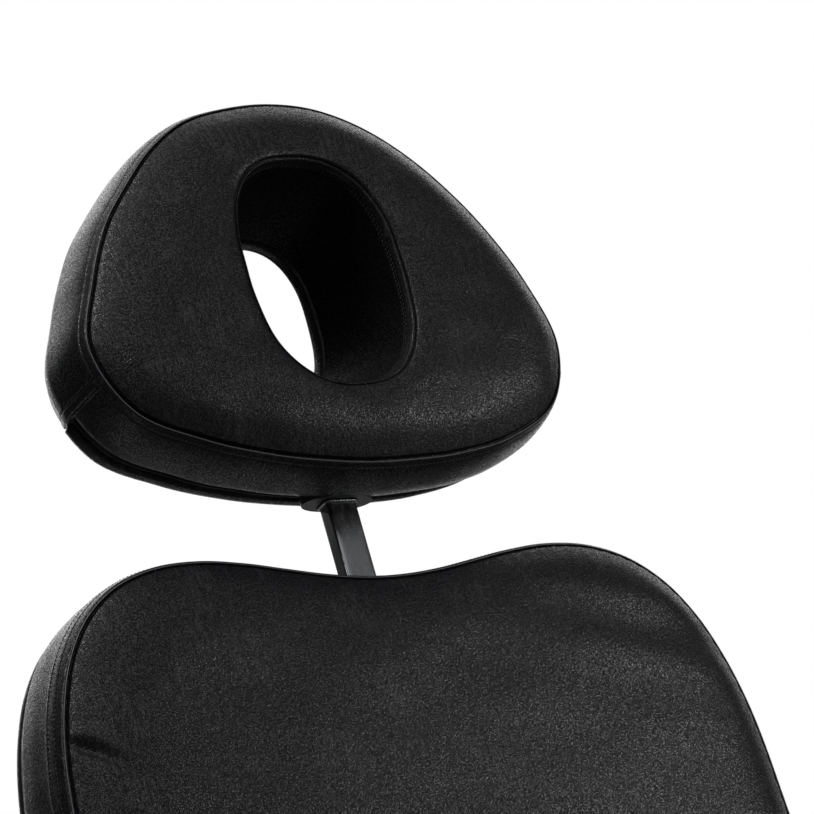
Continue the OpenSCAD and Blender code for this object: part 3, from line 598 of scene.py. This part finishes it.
# %% Headrest face
# mm from the seam inwards and mm that the face stands up there, and where its rings go
crown_at = [0, 2.2, 4.5, 9, 14, 20, 28, 40, 56, 75, 110]
crown_up = [0, 1.3, 3.2, 6.2, 9.2, 11.8, 13.9, 15.7, 16.8, 17, 17]
face_steps = [2.2, 2.7, 3.2, 3.6, 4.8, 6.2, 8, 10, 12.5, 15.5, 19]
rim = hole_ring(-15, 3.2)
flat = inward(head_outline, head_normal, face_steps, rim, 38)
inside = edge_distance(flat, head_outline)
from_hole = edge_distance(flat, rim)
pucker = np.sin(head_run / 11 * 2 * math.pi + 3 * np.sin(head_run / 47))
height = through(inside, crown_at, crown_up)
height += 0.6 * waves(flat[:, 0], flat[:, 1], [90, 60, 45, 38], 3) * np.clip(inside / 30, 0, 1)
puckers = np.tile(pucker, len(flat) // COUNT)
height += 0.16 * puckers * np.exp(-inside / 6) * np.clip(inside / 2, 0, 1)
height -= 2.6 * np.exp(-from_hole / 5)
flat[:, 2] = -height
face = list(flat.reshape(-1, COUNT, 3))
print("face of", len(face), "rings, up to", height.max().round(1), "mm high")

# %% Headrest band
# chin is 1 between the two joins of the band and 0 above them
chin = np.clip((head_run - joins[0]) / 1.2, 0, 1) * np.clip((joins[1] - head_run) / 1.2, 0, 1)
laps = sum(dip(head_run, at, 0.6) for at in (joins[0] - 0.6, joins[0] - lap,
                                             joins[1] + 0.6, joins[1] + lap))
lapped = sum(np.clip(1 - np.abs(head_run - j - lap / 2 * side) / lap, 0, 1) > 0.5
             for j, side in zip(joins, (-1, 1)))
band_depth = np.unique(np.concatenate([
    [1.6, 2.2, 3.0, 4.0, 5.0, 5.5, 5.8, 6.1, 6.4, 6.7, 7.2, 8.2], np.arange(10, 46, 3.0),
    np.arange(46, 62, 0.8), np.arange(63, 77, 1.6)]))
swell = through(band_depth, [1.6, 5, 12, 22, 34, 46, 56, 66, 77],
                [1.5, 3.0, 5.4, 7.0, 7.8, 7.9, 5.6, 0.6, -5.6])
chin_swell = through(band_depth, [1.6, 5, 12, 22, 34, 42, 46, 49, 51.5, 60, 77],
                     [1.5, 2.6, 4.4, 6.0, 7.0, 6.4, 4.6, 1.8, -0.6, -2.6, -8.0])
chin_swell += 3.0 * dip(band_depth, 55.2, 1.3)
sew = 0.6 * dip(band_depth, 6.1, 0.45)
ripple = waves(head_run, head_run * 0, [37, 23, 61], 5)
band = []
for z, o, c, g in zip(band_depth, swell, chin_swell, sew):
    out = o + (c - o) * chin - g + 0.3 * ripple * min(1, z / 20)
    out += (0.5 * lapped - 1.3 * laps) * min(1, z / 4)
    band.append(ring(head_outline + head_normal * out[:, None], z))
# how far out and how deep the skin goes in the groove of a seam, in mm
seam_part = [(1.0, 0.8), (0.5, 0.6), (0.0, 0.9), (-0.3, 1.6), (-0.8, 2.6), (-1.3, 2.9),
             (-1.9, 2.4), (-2.3, 1.2), (-2.5, 0.2), (-2.4, -0.7)]
seam = [ring(head_outline + head_normal * o, z) for o, z in seam_part]
tuck = [ring(head_outline - head_normal * o, z)
        for o, z in [(9.5, 77.4), (14, 77.0), (20, 76.0)]]
print("band of", len(band), "rings, seam of", len(seam))

# %% Lining of the face hole
rim_depth = face[-1][:, 2]
lip = [ring(hole_ring(-14.4, g), rim_depth + z)
       for g, z in [(3.0, 0.9), (2.8, 2.2), (2.3, 3.1), (1.6, 2.8), (1.3, 1.6), (0.9, 1.2),
                    (0.3, 1.6), (0.0, 2.6)]]
wall_depth = np.array([-9.6, -8.8, -8.0, -7.4, -7.0, -6.6, -6.2, -5.6, -5.0, -4.6, -4.2, -3.6,
                       -2, 3, 10, 18, 27, 36, 45, 54, 62, 68, 72, 75, 77, 78.4])
hole_rows = (-6.6, -4.6)
wall_in = 0.5 * dip(wall_depth, 78.4, 1.6)
for z in hole_rows:
    wall_in += 0.5 * dip(wall_depth, z, 0.5)
wall = [ring(hole_ring(z, g), z) for z, g in zip(wall_depth, wall_in)]
rings = tuck[::-1] + band[::-1] + seam + face + lip + wall
headrest_cover = skin("headrest_cover", [leaning(head, r) for r in rings], closed_end=False)
facing(headrest_cover, leaning(head, [[0, 0, 30]])[0])
headrest_cover.data.materials.append(black)
headrest_cover.data.materials.append(hole_shade_black)
# the lining starts at the third ring of the wall, just behind the lip; from there the wall takes the darker copy
# of the cover, painted shade
finish_of_face = np.zeros(len(headrest_cover.data.polygons), int)
finish_of_face[(len(rings) - len(wall) + 2) * COUNT:] = 1
headrest_cover.data.polygons.foreach_set("material_index", finish_of_face)
print("headrest cover", len(headrest_cover.data.vertices), "points")

# %% [markdown]
# ## Rear of the headrest
# A second cover closes the rear. It starts in the groove where the steel plate of the
# headrest sits. Under the chin its edge shows as a narrow lighter strip. It bulges to
# the rear and turns into the hole over a thin welt.

# %% Headrest rear cover
start = [ring(head_outline - head_normal * o, z)
         for o, z in [(20, 60.5), (10, 60.5), (6, 60.6), (3.4, 61.0), (1.8, 61.8)]]
edge_depth = np.array([62.8, 64.5, 67, 70, 73])
edge_out = np.array([-0.2, 0.6, 0.8, 0.1, -1.4])
lower = 5.0 * (1 - chin)
edge = [ring(head_outline + head_normal * (o - lower)[:, None], z)
        for o, z in zip(edge_out, edge_depth)]
edge += [ring(head_outline - head_normal * (5.2 + lower * 0.6)[:, None], 75.0)]
first = edge[-1][:, :2]
back_steps = [1.2, 3, 5.5, 8.5, 12, 16]
rim = hole_ring(93, 3.5)
flat = inward(first, head_normal, back_steps, rim, 30)
inside = edge_distance(flat, first)
high = through(inside, [0, 6, 15, 24, 34, 48, 66, 90, 120],
               [0, 2.4, 5.4, 8.6, 11.6, 14.8, 17, 18, 18])
high += 0.5 * waves(flat[:, 0], flat[:, 1], [95, 60, 44], 8) * np.clip(inside / 30, 0, 1)
high += 0.25 * np.tile(pucker, len(flat) // COUNT) * np.exp(-inside / 6) * np.clip(inside, 0, 1)
high -= 1.8 * np.exp(-edge_distance(flat, rim) / 6)
flat[:, 2] = 75.4 + high
dome = list(flat.reshape(-1, COUNT, 3))
turn = dome[-1][:, 2]
turned = [ring(hole_ring(92, g), turn + z) for g, z in [(1.9, -0.3), (0.9, -1.0), (0.2, -2.2)]]
lining = [ring(hole_ring(z, g), z) for z, g in [(88.6, -0.5), (85.5, -1.0), (82.5, -0.9),
                                                (80.6, -0.1), (79.6, 1.4), (79.0, 3.0)]]
rings = start + edge + dome + turned + lining
headrest_rear = skin("headrest_rear_cover", [leaning(head, r) for r in rings], closed_end=False)
facing(headrest_rear, leaning(head, [[0, 0, 70]])[0])
headrest_rear.data.materials.append(black)
print("headrest rear cover", len(headrest_rear.data.vertices), "points")

# %% [markdown]
# ## A cushion on a board
# Backrest, seat, legrest and arm pads are made alike: foam glued on plywood, a face
# panel and a side band sewn together, pulled round the board and stapled beneath.
# One function sews them. place puts mm points into the frame.


# %% Cushion function
def cushion(name, outline, place, side, crown, seed, roll=1.0, strip=0.0, dents=()):
    """A face and a band. side is [(depth, drawn in)] in mm from the seam to the base.

    The piece comes with its sewn paths and, as the last one, the path of its staples.
    """
    n, count = outward(outline), len(outline)
    step = np.linalg.norm(outline[1] - outline[0])
    arc = np.arange(count) * step
    low, high = outline.min(0), outline.max(0)
    core = (outline - (low + high) / 2) * 0.06 + (low + high) / 2
    span = (high - low).min() / 2
    # rings stand some 6.5 mm apart on the flat of the face
    flat = inward(outline, n, np.array(face_steps) * roll, core, int(span / 6.5) + 4)
    inside = edge_distance(flat, outline)
    up_by = through(inside, np.array(crown_at) * roll, np.array(crown_up) * crown / 17)
    up_by += crown / 26 * waves(flat[:, 0], flat[:, 1], [150, 97, 70, 52], seed) \
        * np.clip(inside / 40, 0, 1)
    pull = np.tile(np.sin(arc / 12 * 2 * math.pi + 3 * np.sin(arc / 51 + seed)), len(flat) // count)
    up_by += 0.25 * pull * np.exp(-inside / 7) * np.clip(inside / 2, 0, 1)
    for x, y, wide, tall, angle, deep in dents:
        c, s = math.cos(math.radians(angle)), math.sin(math.radians(angle))
        dx, dy = flat[:, 0] - x, flat[:, 1] - y
        a, b = (dx * c + dy * s) / wide, (dy * c - dx * s) / tall
        up_by -= deep * np.exp(-a * a - b * b) * np.clip(inside / 9, 0, 1)
    flat[:, 2] = -up_by
    top = list(flat.reshape(-1, count, 3))
    depth, drawn = np.array(side, float).T
    fine = np.unique(np.concatenate([[1.6, 2.2, 3.0, 4.0, 5.2, 6.5],
                                     np.linspace(8, depth[-1], int(depth[-1] / 3))]))
    # a doubled strip is sewn along its middle and its edge, a plain band beside the seam
    rows = [strip * 0.45, strip * 0.95] if strip else [6.0]
    for r in rows:
        fine = np.concatenate([fine, r + np.array([-1.1, -0.6, -0.3, 0, 0.3, 0.6, 1.1])])
    if strip:
        fine = np.concatenate([fine, strip + np.array([1.2, 2.0])])
    fine = np.unique(fine[fine <= depth[-1]].round(2))
    inset = through(fine, depth, drawn)
    for r in rows:
        inset += 0.5 * np.exp(-((fine - r) / 0.5) ** 2)
    if strip:
        inset -= 0.7 / (1 + np.exp((fine - strip - 1.0) / 0.35))
    soft = waves(arc, arc * 0, [83, 47, 131], seed + 1)[:, None]
    edge_rings = [ring(outline + n * o, z) for o, z in seam_part]
    sides = [ring(outline - n * (i - 0.35 * soft * min(1, z / 25)), z)
             for z, i in zip(fine, inset)]
    under = [ring(outline - n * (drawn[-1] + o), depth[-1] + z)
             for o, z in [(0.6, 0.5), (2.0, 0.9), (12.0, 1.0)]]
    rings = under[::-1] + sides[::-1] + edge_rings + top
    piece = skin(name, [place(r) for r in rings])
    facing(piece, place(np.array([[0, (low[1] + high[1]) / 2, depth[-1] / 2]]))[0])
    piece.data.materials.append(black)

    def sewn_path(sunk, z, off_sunk, off_z):
        """A path on the cover, and the directions from it to another path off the cover."""
        path = place(ring(outline - n * sunk, z))
        return path, unit(place(ring(outline - n * off_sunk, off_z)) - path)

    paths = []
    for r in rows:
        i = float(through(r, depth, drawn)) - (0.7 if strip else 0)
        paths.append(sewn_path(i + 0.1, r, i - 5, r))
    stapled = drawn[-1] + 7
    paths.append(sewn_path(stapled, depth[-1] + 1.2, stapled, depth[-1] + 6))
    return piece, paths


# %% [markdown]
# ## Backrest
# The top edge dips in the middle and rises to two shoulders. A doubled strip of the
# band beside the seam is sewn down with two rows of stitches, which keeps the edge
# straight. A fold lies across the lower left of the face, where the cover is slack.

# %% Backrest cover
back_half = [(0, 676.4), (23.3, 677.4), (47.7, 680.3), (74.5, 685.1), (104.5, 690.5),
             (137.2, 693.6), (170.7, 690.8), (201.6, 679.7), (226.7, 659.9), (244.6, 633.5),
             (256.1, 603.7), (263.1, 573), (266.5, 542.4), (268, 500), (269.3, 430),
             (270, 350), (270, 260), (270, 180), (270, 110), (268, 72), (258, 50),
             (238, 40), (200, 36.5), (130, 36), (60, 36), (0, 36)]
back_outline = smooth_outline(mirrored(back_half), 1100)


def on_back(points):
    return leaning(back_seam, points)


back_side = [(1.6, -1.4), (5, -2.4), (10, -3.5), (25, -4.7), (42, -5.9), (52, -5.8),
             (57.6, -4.6)]
# x, up, wide, tall, turn and depth: a fold at the lower left, then waves on the right shoulder
back_dents = [(-252, 573, 20, 3.8, -35, 4.2), (-248, 582, 18, 5, -35, -1.2),
              (162, 655, 62, 11, -14, -1.1), (172, 628, 62, 12, -14, 1.3),
              (178, 601, 62, 12, -14, -1.3)]
back_cover, back_rows = cushion("backrest_cover", back_outline, on_back, back_side, 15, 21,
                                strip=18.0, dents=back_dents)
# the rear panel reaches past the seam, over the edge of the band
panel_in = -3.6
n = outward(back_outline)
shell = [ring(back_outline - n * (panel_in + o), z)
         for o, z in [(14, 58.9), (3, 58.9), (1.2, 59.1), (0.2, 59.9), (-0.5, 61.2), (-0.8, 63),
                      (-0.6, 65), (0.2, 67.2), (1.6, 69.2), (3.6, 70.6), (6.5, 71.5),
                      (11, 71.9), (18, 72.0)]]
core = (back_outline - [0, 360]) * 0.06 + [0, 360]
last = shell[-1][:, :2]
flatter = [ring(last + (core - last) * t, 72.0) for t in np.linspace(0, 1, 26)[1:]]
for r in flatter:
    r[:, 2] += 0.25 * waves(r[:, 0], r[:, 1], [120, 80, 61], 31)
back_panel = skin("backrest_rear_panel", [on_back(r) for r in shell + flatter])
facing(back_panel, on_back(np.array([[0, 360, 66]]))[0])
back_panel.data.materials.append(black)
print("backrest outline", np.ptp(back_outline, axis=0).round(1), "mm")

# %% [markdown]
# ## Seat, legrest and arm pads
# These are plain box cushions with one topstitched seam. Their places come from the
# CAD pieces they stand for.

# %% Seat, legrest and arm covers
seat_low, seat_high = (np.array(v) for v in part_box("seat_cushion"))
seat_mid = (seat_low + seat_high) / 2
seat_size = (seat_high - seat_low) / MM
seat_crown = 17.0
seat_seam = np.array([0, seat_mid[1], seat_high[2] - seat_crown * MM])
seat_outline = superellipse(seat_size[0], seat_size[1], 7, 900)
seat_side = [(1.6, -1.2), (12, -1.6), (30, -2.0), (52, 0.0), (66, 2.5), (71, 4.0)]
seat_cover, seat_rows = cushion("seat_cover", seat_outline, lambda p: level(seat_seam, p),
                                seat_side, seat_crown, 41)

leg_axis = np.array(joints["legrest_raise"]["pos_m"])
# metres from the hinge to the middle of the cushion's seam, outwards and up
leg_out, leg_high = 0.224, 0.105
leg_seam = leg_axis - leg_out * leg_in + leg_high * leg_up


def on_leg(points):
    p = np.asarray(points, float) * MM
    return leg_seam + p[..., 0:1] * across + p[..., 1:2] * leg_in - p[..., 2:3] * leg_up


leg_outline = superellipse(530, 400, 7, 860)
leg_side = [(1.6, -1.2), (14, -1.6), (34, -2.0), (56, 0.0), (71, 2.5), (76.5, 4.0)]
leg_cover, leg_rows = cushion("legrest_cover", leg_outline, on_leg, leg_side, 14, 51)

arm_covers = []
for name, seed in (("left", 61), ("right", 71)):
    low, high = (np.array(v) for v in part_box("arm_pad_" + name))
    mid, size = (low + high) / 2, (high - low) / MM
    seam_at = np.array([mid[0], mid[1], high[2] - 10 * MM])
    arm_side = [(1.6, -1.2), (8, -1.0), (18, -1.2), (28, 0.4), (35, 2.5)]
    arm_outline = superellipse(size[0], size[1], 4, 420)
    arm_covers.append((name, *cushion("arm_cover_" + name, arm_outline,
                                      lambda p, o=seam_at: level(o, p),
                                      arm_side, 10, seed, roll=0.7)))

# %% [markdown]
# ## Topstitching
# The rows lie in shallow furrows that the tight thread pulls into the cover.

# %% Stitches
def dress(piece, material, body):
    """Gives a new piece its material and the body it rides on."""
    piece.data.materials.append(material)
    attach(piece, body)


def row(name, path, out, body):
    dress(stitches(name, path, out), thread, body)


def head_row(name, flat, depth, lift):
    path = leaning(head, ring(flat, depth))
    row(name, path, unit(leaning(head, ring(flat + lift, depth)) - path), "headrest")


def bead(name, path, across_path, thick, body, made_of):
    """A round bead along a closed path in metres. thick is in mm, for all or for each point."""
    ahead = unit(np.roll(path, -1, axis=0) - np.roll(path, 1, axis=0))
    side = unit(np.cross(ahead, across_path))
    over = np.cross(side, ahead)
    half = np.broadcast_to(np.asarray(thick, float) / 2 * MM, len(path))[:, None]
    turns = [2 * math.pi * k / 8 for k in range(8)]
    rings = [path + (side * math.cos(t) + over * math.sin(t)) * half for t in turns]
    dress(skin(name, rings, joined=True), made_of, body)


# painted highlight: paler beads along the seams of headrest and backrest
bead("seam_highlight_headrest", leaning(head, ring(head_outline + head_normal * 0.5, 0.45)), rear, 0.6,
     "headrest", seam_painted_highlight)
bead("seam_highlight_backrest", on_back(ring(back_outline + outward(back_outline) * 0.5, 0.45)), rear, 0.6,
     "backrest", seam_painted_highlight)
sewn = float(through(6.1, [1.6, 5, 12], [1.5, 3.0, 5.4])) - 0.8
head_row("stitches_headrest_front", head_outline + head_normal * sewn, 6.1, head_normal)
for k, z in enumerate(hole_rows):
    hole_in = hole_ring(z, 0.35)
    head_row(f"stitches_face_hole_{k + 1}", hole_in, z, -outward(hole_in))
for k, (path, out) in enumerate(back_rows[:2]):
    row(f"stitches_backrest_{k + 1}", path, out, "backrest")
row("stitches_seat", *seat_rows[0], "seat")
row("stitches_legrest", *leg_rows[0], "legrest")
for name, piece, rows in arm_covers:
    row("stitches_arm_" + name, *rows[0], name + "_arm")

# %% Staples under the cushions
for body, rows in (("seat", seat_rows), ("legrest", leg_rows)):
    staples = stitches("staples_" + body, *rows[-1], pitch=16, length=11, thick=1.2)
    dress(staples, zinc, body)
    print(staples.name, len(staples.data.vertices), "points")

# %% Covers on their bodies
# each cover, its body, the CAD piece it stands for and the share of that piece that is foam
for piece, body, node, fill in (
        (headrest_cover, "headrest", "headrest_cushion", 0.85),
        (headrest_rear, "headrest", "headrest_rear_pad", 0.8),
        (back_cover, "backrest", "back_cushion", 0.85),
        (back_panel, "backrest", "back_panel", 0.7),
        (seat_cover, "seat", "seat_cushion", 0.85),
        (leg_cover, "legrest", "leg_cushion", 0.85),
        (arm_covers[0][1], "left_arm", "arm_pad_left", 0.8),
        (arm_covers[1][1], "right_arm", "arm_pad_right", 0.8)):
    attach(piece, body)
    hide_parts(node)

# %% [markdown]
# ## Bolts and welds
# The boards are bolted to the rails with M8 hexagon bolts and washers. The frame is MAG
# welded, and each joint shows a rippled bead under the powder. The post is welded round
# its top, and this bead is plated with it.


# %% Bolts
def bolt(name, at, toward, body, thread_d=8):
    """A hexagon bolt with its washer, seen from outside. at is on the face it clamps."""
    toward = unit(np.asarray(toward, float))
    one = unit(np.cross(toward, [0.37, 0.61, 0.7]))
    two = np.cross(toward, one)
    verts, faces = [], []
    # radius and height of each ring in mm, as shares of the thread like the standard's
    washer_r, head_r = thread_d * 1.05, thread_d * 0.94
    flank, top = 1.4 + thread_d * 0.55, 1.4 + thread_d * 0.65
    washer = [(washer_r, 0.0), (washer_r, 1.1), (washer_r - 0.4, 1.5), (head_r * 0.9, 1.5)]
    hexagon = [(head_r, 1.4), (head_r, flank), (head_r * 0.86, top), (head_r * 0.3, top)]
    for profile, sides in ((washer, 32), (hexagon, 6)):
        first = len(verts)
        for r, h in profile:
            for k in range(sides):
                t = 2 * math.pi * k / sides
                spoke = one * math.cos(t) * r + two * math.sin(t) * r
                verts.append(at + (spoke + toward * h) * MM)
        for j in range(len(profile) - 1):
            for k in range(sides):
                a, b = first + j * sides, first + (j + 1) * sides
                faces.append([a + k, a + (k + 1) % sides, b + (k + 1) % sides, b + k])
        faces.append([first + (len(profile) - 1) * sides + k for k in range(sides)])
    dress(solid(name, verts, faces, smooth=False), zinc, body)


rail_low, rail_high = (np.array(v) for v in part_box("seat_rail_right"))
rail_x, rail_base = (rail_low[0] + rail_high[0]) / 2, rail_low[2]
plate_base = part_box("top_plate")[0][2]
arm_low, arm_high = (np.array(v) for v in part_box("arm_bar_right"))
arm_x = (arm_low[0] + arm_high[0]) / 2
# metres: half of a 25 mm tube, and the back rails' middle behind the hinge's plane
half_tube, rail_behind = 0.0125, 0.0513
back_rail_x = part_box("back_rails")[1][0] - half_tube
leg_rail_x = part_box("leg_rails")[1][0] - half_tube
# metres along each rail, for the panels from their hinge
seat_bolts, arm_bolts = (-0.215, -0.10, 0.185), (-0.14, 0.06)
plate_bolts, plate_bolt_x = (-0.042, 0.042), 0.085
back_bolts, leg_bolts = (0.150, 0.320, 0.500), (0.090, 0.210, 0.330)
down = (0, 0, -1)
for side, word in ((-1, "left"), (1, "right")):
    for k, y in enumerate(seat_bolts):
        bolt(f"bolt_seat_{word}_{k + 1}", (side * rail_x, y, rail_base), down, "seat")
    for k, y in enumerate(plate_bolts):
        at = (side * plate_bolt_x, y, plate_base)
        bolt(f"bolt_plate_{word}_{k + 1}", at, down, "seat")
    for k, y in enumerate(arm_bolts):
        at = (side * arm_x, y, arm_low[2])
        bolt(f"bolt_arm_{word}_{k + 1}", at, down, word + "_arm", 6)
    for k, u in enumerate(back_bolts):
        at = hinge + side * back_rail_x * across + u * up + (rail_behind + half_tube) * rear
        bolt(f"bolt_back_{word}_{k + 1}", at, rear, "backrest")
    for k, u in enumerate(leg_bolts):
        at = leg_axis + side * leg_rail_x * across - u * leg_in - half_tube * leg_up
        bolt(f"bolt_leg_{word}_{k + 1}", at, -leg_up, "legrest")


# %% Welds
def weld(name, mid, one, two, size_one, size_two, body, thick=4.0, steel=None):
    """A rippled bead round a tube that ends on a flat face."""
    flat = superellipse(size_one, size_two, 8, int((size_one + size_two) * 2.2)) * MM
    path = np.asarray(mid) + flat[:, :1] * one + flat[:, 1:] * two
    run = np.arange(len(path)) * (size_one + size_two) * 2 / len(path)
    bumps = 1 + 0.16 * np.sin(run * 2 * math.pi / 2.6) + 0.1 * np.sin(run / 3.1 + 2)
    bead(name, path, np.cross(one, two), thick * bumps, body, steel or powder)


along_y, along_z = np.array([0, 1.0, 0]), np.array([0, 0, 1.0])
# metres: the cross tubes up the back and along the seat, the seat rails, and the arm posts
back_cross, seat_cross = (0.062, 0.474), (-0.225, -0.045, 0.045)
rail_inner, rail_outer, rail_z = 0.135, 0.165, 0.400
arm_post_x, arm_post_y = 0.330, 0.150
post_top = 0.1446
for side, word in ((-1, "left"), (1, "right")):
    for k, u in enumerate(back_cross):
        mid = hinge + side * (back_rail_x - half_tube) * across + u * up + rail_behind * rear
        weld(f"weld_back_{word}_{k + 1}", mid, up, rear, 25, 25, "backrest")
    for k, y in enumerate(seat_cross):
        mid = (side * rail_inner, y, rail_z)
        weld(f"weld_seat_{word}_{k + 1}", mid, along_y, along_z, 30, 30, "seat")
    mid = (side * rail_outer, arm_post_y, rail_z)
    weld(f"weld_outrigger_{word}", mid, along_y, along_z, 25, 25, "seat")
    mid = (side * arm_post_x, arm_post_y, rail_z + half_tube)
    weld(f"weld_arm_post_{word}", mid, across, along_y, 25, 25, "seat")
weld("weld_post", post_axis - post_top * up, across, rear, 24.2, 13.6, "headrest", 2.0, brushed)

# %% [markdown]
# ## Headrest post
# A flat steel tube that slides in the receiver. It is rolled from 1.5 mm strip, so its
# corners are round and its sides very slightly bulged. The rings run from inside the open
# lower end round its edge and up to the headrest.

# %% Post
# width, depth and height against the headrest's middle, in mm
post_sizes = [(19.6, 9.0, -374), (19.8, 9.2, -381.4), (20.8, 10.2, -382), (22.8, 12.2, -382),
              (23.4, 12.8, -381.4), (23.4, 12.8, -86), (22.8, 12.2, -85.5)]
post_rings = []
for wide, deep, at in post_sizes:
    flat = superellipse(wide, deep, 9, 160) * MM
    post_rings.append(post_axis + flat[:, :1] * across + flat[:, 1:] * rear + at * MM * up)
post = skin("headrest_post_tube", post_rings)
facing(post, post_axis - 200 * MM * up)
dress(post, brushed, "headrest")
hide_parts("headrest_post")
print("post", len(post.data.vertices), "points")

# %% [markdown]
# ## Camera and light
# The photo was taken from the chair's left front, almost level with the headrest, with
# a long lens. The ground behind is plain white, and shows as a sheen on every face that
# is seen at a grazing angle.

# %% Camera
# fitted to the outlines in the photo: degrees round and down, then where the middle of
# the headrest stands as seen from the camera, in metres
turn_by, tilt = math.radians(33.2), math.radians(2.0)
forward = np.array([math.sin(turn_by) * math.cos(tilt), math.cos(turn_by) * math.cos(tilt),
                    -math.sin(tilt)])
right = np.array([math.cos(turn_by), -math.sin(turn_by), 0.0])
above = np.cross(right, forward)
head_right, head_above, head_ahead = -0.0606, 0.0859, 2.187
eye = head - (head_right * right + head_above * above + head_ahead * forward)
camera = bpy.data.objects.new("camera", bpy.data.cameras.new("camera"))
scene.collection.objects.link(camera)
camera.data.lens = 141.7
camera.data.sensor_width = 36.0

def frame_of(x, y, z, spot):
    """The matrix that puts an object at a spot with these three axes."""
    return Matrix([[x[k], y[k], z[k], spot[k]] for k in range(3)] + [[0, 0, 0, 1]])


camera.matrix_world = frame_of(right, above, -forward, eye)
bpy.context.scene.camera = camera
print("camera at", eye.round(3))

# %% World
world = bpy.data.worlds.new("studio")
scene.world = world
world.use_nodes = True
tree = world.node_tree
ground = tree.nodes["Background"]
ray = add(tree, "LightPath")
look = add(tree, "TexCoord").outputs["Generated"]
# soft boxes: where each stands as seen from the chair, how sharp it is, how bright
studio_boxes = [((0.80, -0.60, 0.05), 14.0, 0.9), ((0.04, -0.46, 0.89), 10.0, 1.0),
                ((-0.24, 0.26, 0.94), 14.0, 0.8), ((-0.60, -0.45, 0.66), 9.0, 0.3)]
# the white ground behind the chair fades in towards the rear
toward_rear = add(tree, "VectorMath", {0: look, 1: (0.45, 0.87, 0.20)}, operation="DOT_PRODUCT")
rear_white = add(tree, "MapRange", {
    "Value": toward_rear.outputs["Value"], "From Min": 0.66, "From Max": 0.98, "To Min": 0.05,
    "To Max": 2.4}, interpolation_type="SMOOTHSTEP")
sum_up = rear_white
for toward, sharp, strength in studio_boxes:
    near = add(tree, "VectorMath", {0: look, 1: toward}, operation="DOT_PRODUCT")
    fall = add(tree, "Math", {
        0: near.outputs["Value"], 1: sharp, 2: -sharp}, operation="MULTIPLY_ADD")
    lobe = add(tree, "Math", {0: fall}, operation="EXPONENT")
    sum_up = add(tree, "Math", {0: lobe, 1: strength, 2: sum_up}, operation="MULTIPLY_ADD")
# the camera itself sees an even white
seen = add(tree, "Math", {
    0: ray.outputs["Is Camera Ray"], 1: ray.outputs["Is Transmission Ray"]}, operation="MAXIMUM")
total = add(tree, "Mix", {0: seen, 2: sum_up, 3: 1.0}, data_type="FLOAT")
feed(ground, {"Strength": total, "Color": (1, 1, 1, 1)})
print("world of", len(studio_boxes), "soft boxes and a white ground")

# %% Lamps

def soft_box(name, toward, away, wide, watts, tall=None, along=(0, 0, 1)):
    """A flat lamp off the headrest in a direction, looking at it. tall lies along a direction."""
    lamp = bpy.data.lights.new(name, "AREA")
    lamp.shape, lamp.size, lamp.size_y, lamp.energy = "RECTANGLE", wide, tall or wide, watts
    holder = bpy.data.objects.new(name, lamp)
    scene.collection.objects.link(holder)
    z = Vector(toward).normalized()
    y = (Vector(along) - z * z.dot(Vector(along))).normalized()
    x = y.cross(z)
    spot = Vector(head) + z * away
    holder.matrix_world = frame_of(x, y, z, spot)
    return holder


# a long box runs from above the rear down the left side and draws the sparkling rolls there
soft_box("strip_left", (-0.58, 0.13, 0.80), 2.2, 0.22, 28, 1.9, (-0.55, -0.54, -0.34))
soft_box("key_right", (0.74, -0.65, 0.30), 1.8, 0.45, 6.5)
soft_box("key_left", (-0.43, -0.74, 0.51), 1.8, 0.3, 1.0)
# a wide fill that has no reflection of its own, as from a diffuse ceiling
fill = soft_box("fill_ceiling", (0.15, -0.66, 0.74), 2.6, 2.4, 20)
fill.visible_glossy = False
print("lamps", [lamp.name for lamp in bpy.data.lights])

# %% Floor
floor_sides, floor_reach = 96, 1.5
rim_steps = np.arange(floor_sides) * 2 * math.pi / floor_sides
floor_at = [(floor_reach * math.cos(t), floor_reach * math.sin(t), 0) for t in rim_steps]
floor_faces = [(k, (k + 1) % floor_sides, floor_sides) for k in range(floor_sides)]
floor = solid("floor", floor_at + [(0, 0, 0)], floor_faces)
pale, tree, shader, place = finish("floor_pale", "#dcdcda", 0.7)
floor.data.materials.append(pale)
floor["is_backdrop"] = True
print("floor", floor_reach, "m round the chair")

scene.view_settings.view_transform = "Standard"

# %% Size
low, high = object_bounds()
print("visual", [round(v, 4) for v in low], [round(v, 4) for v in high])
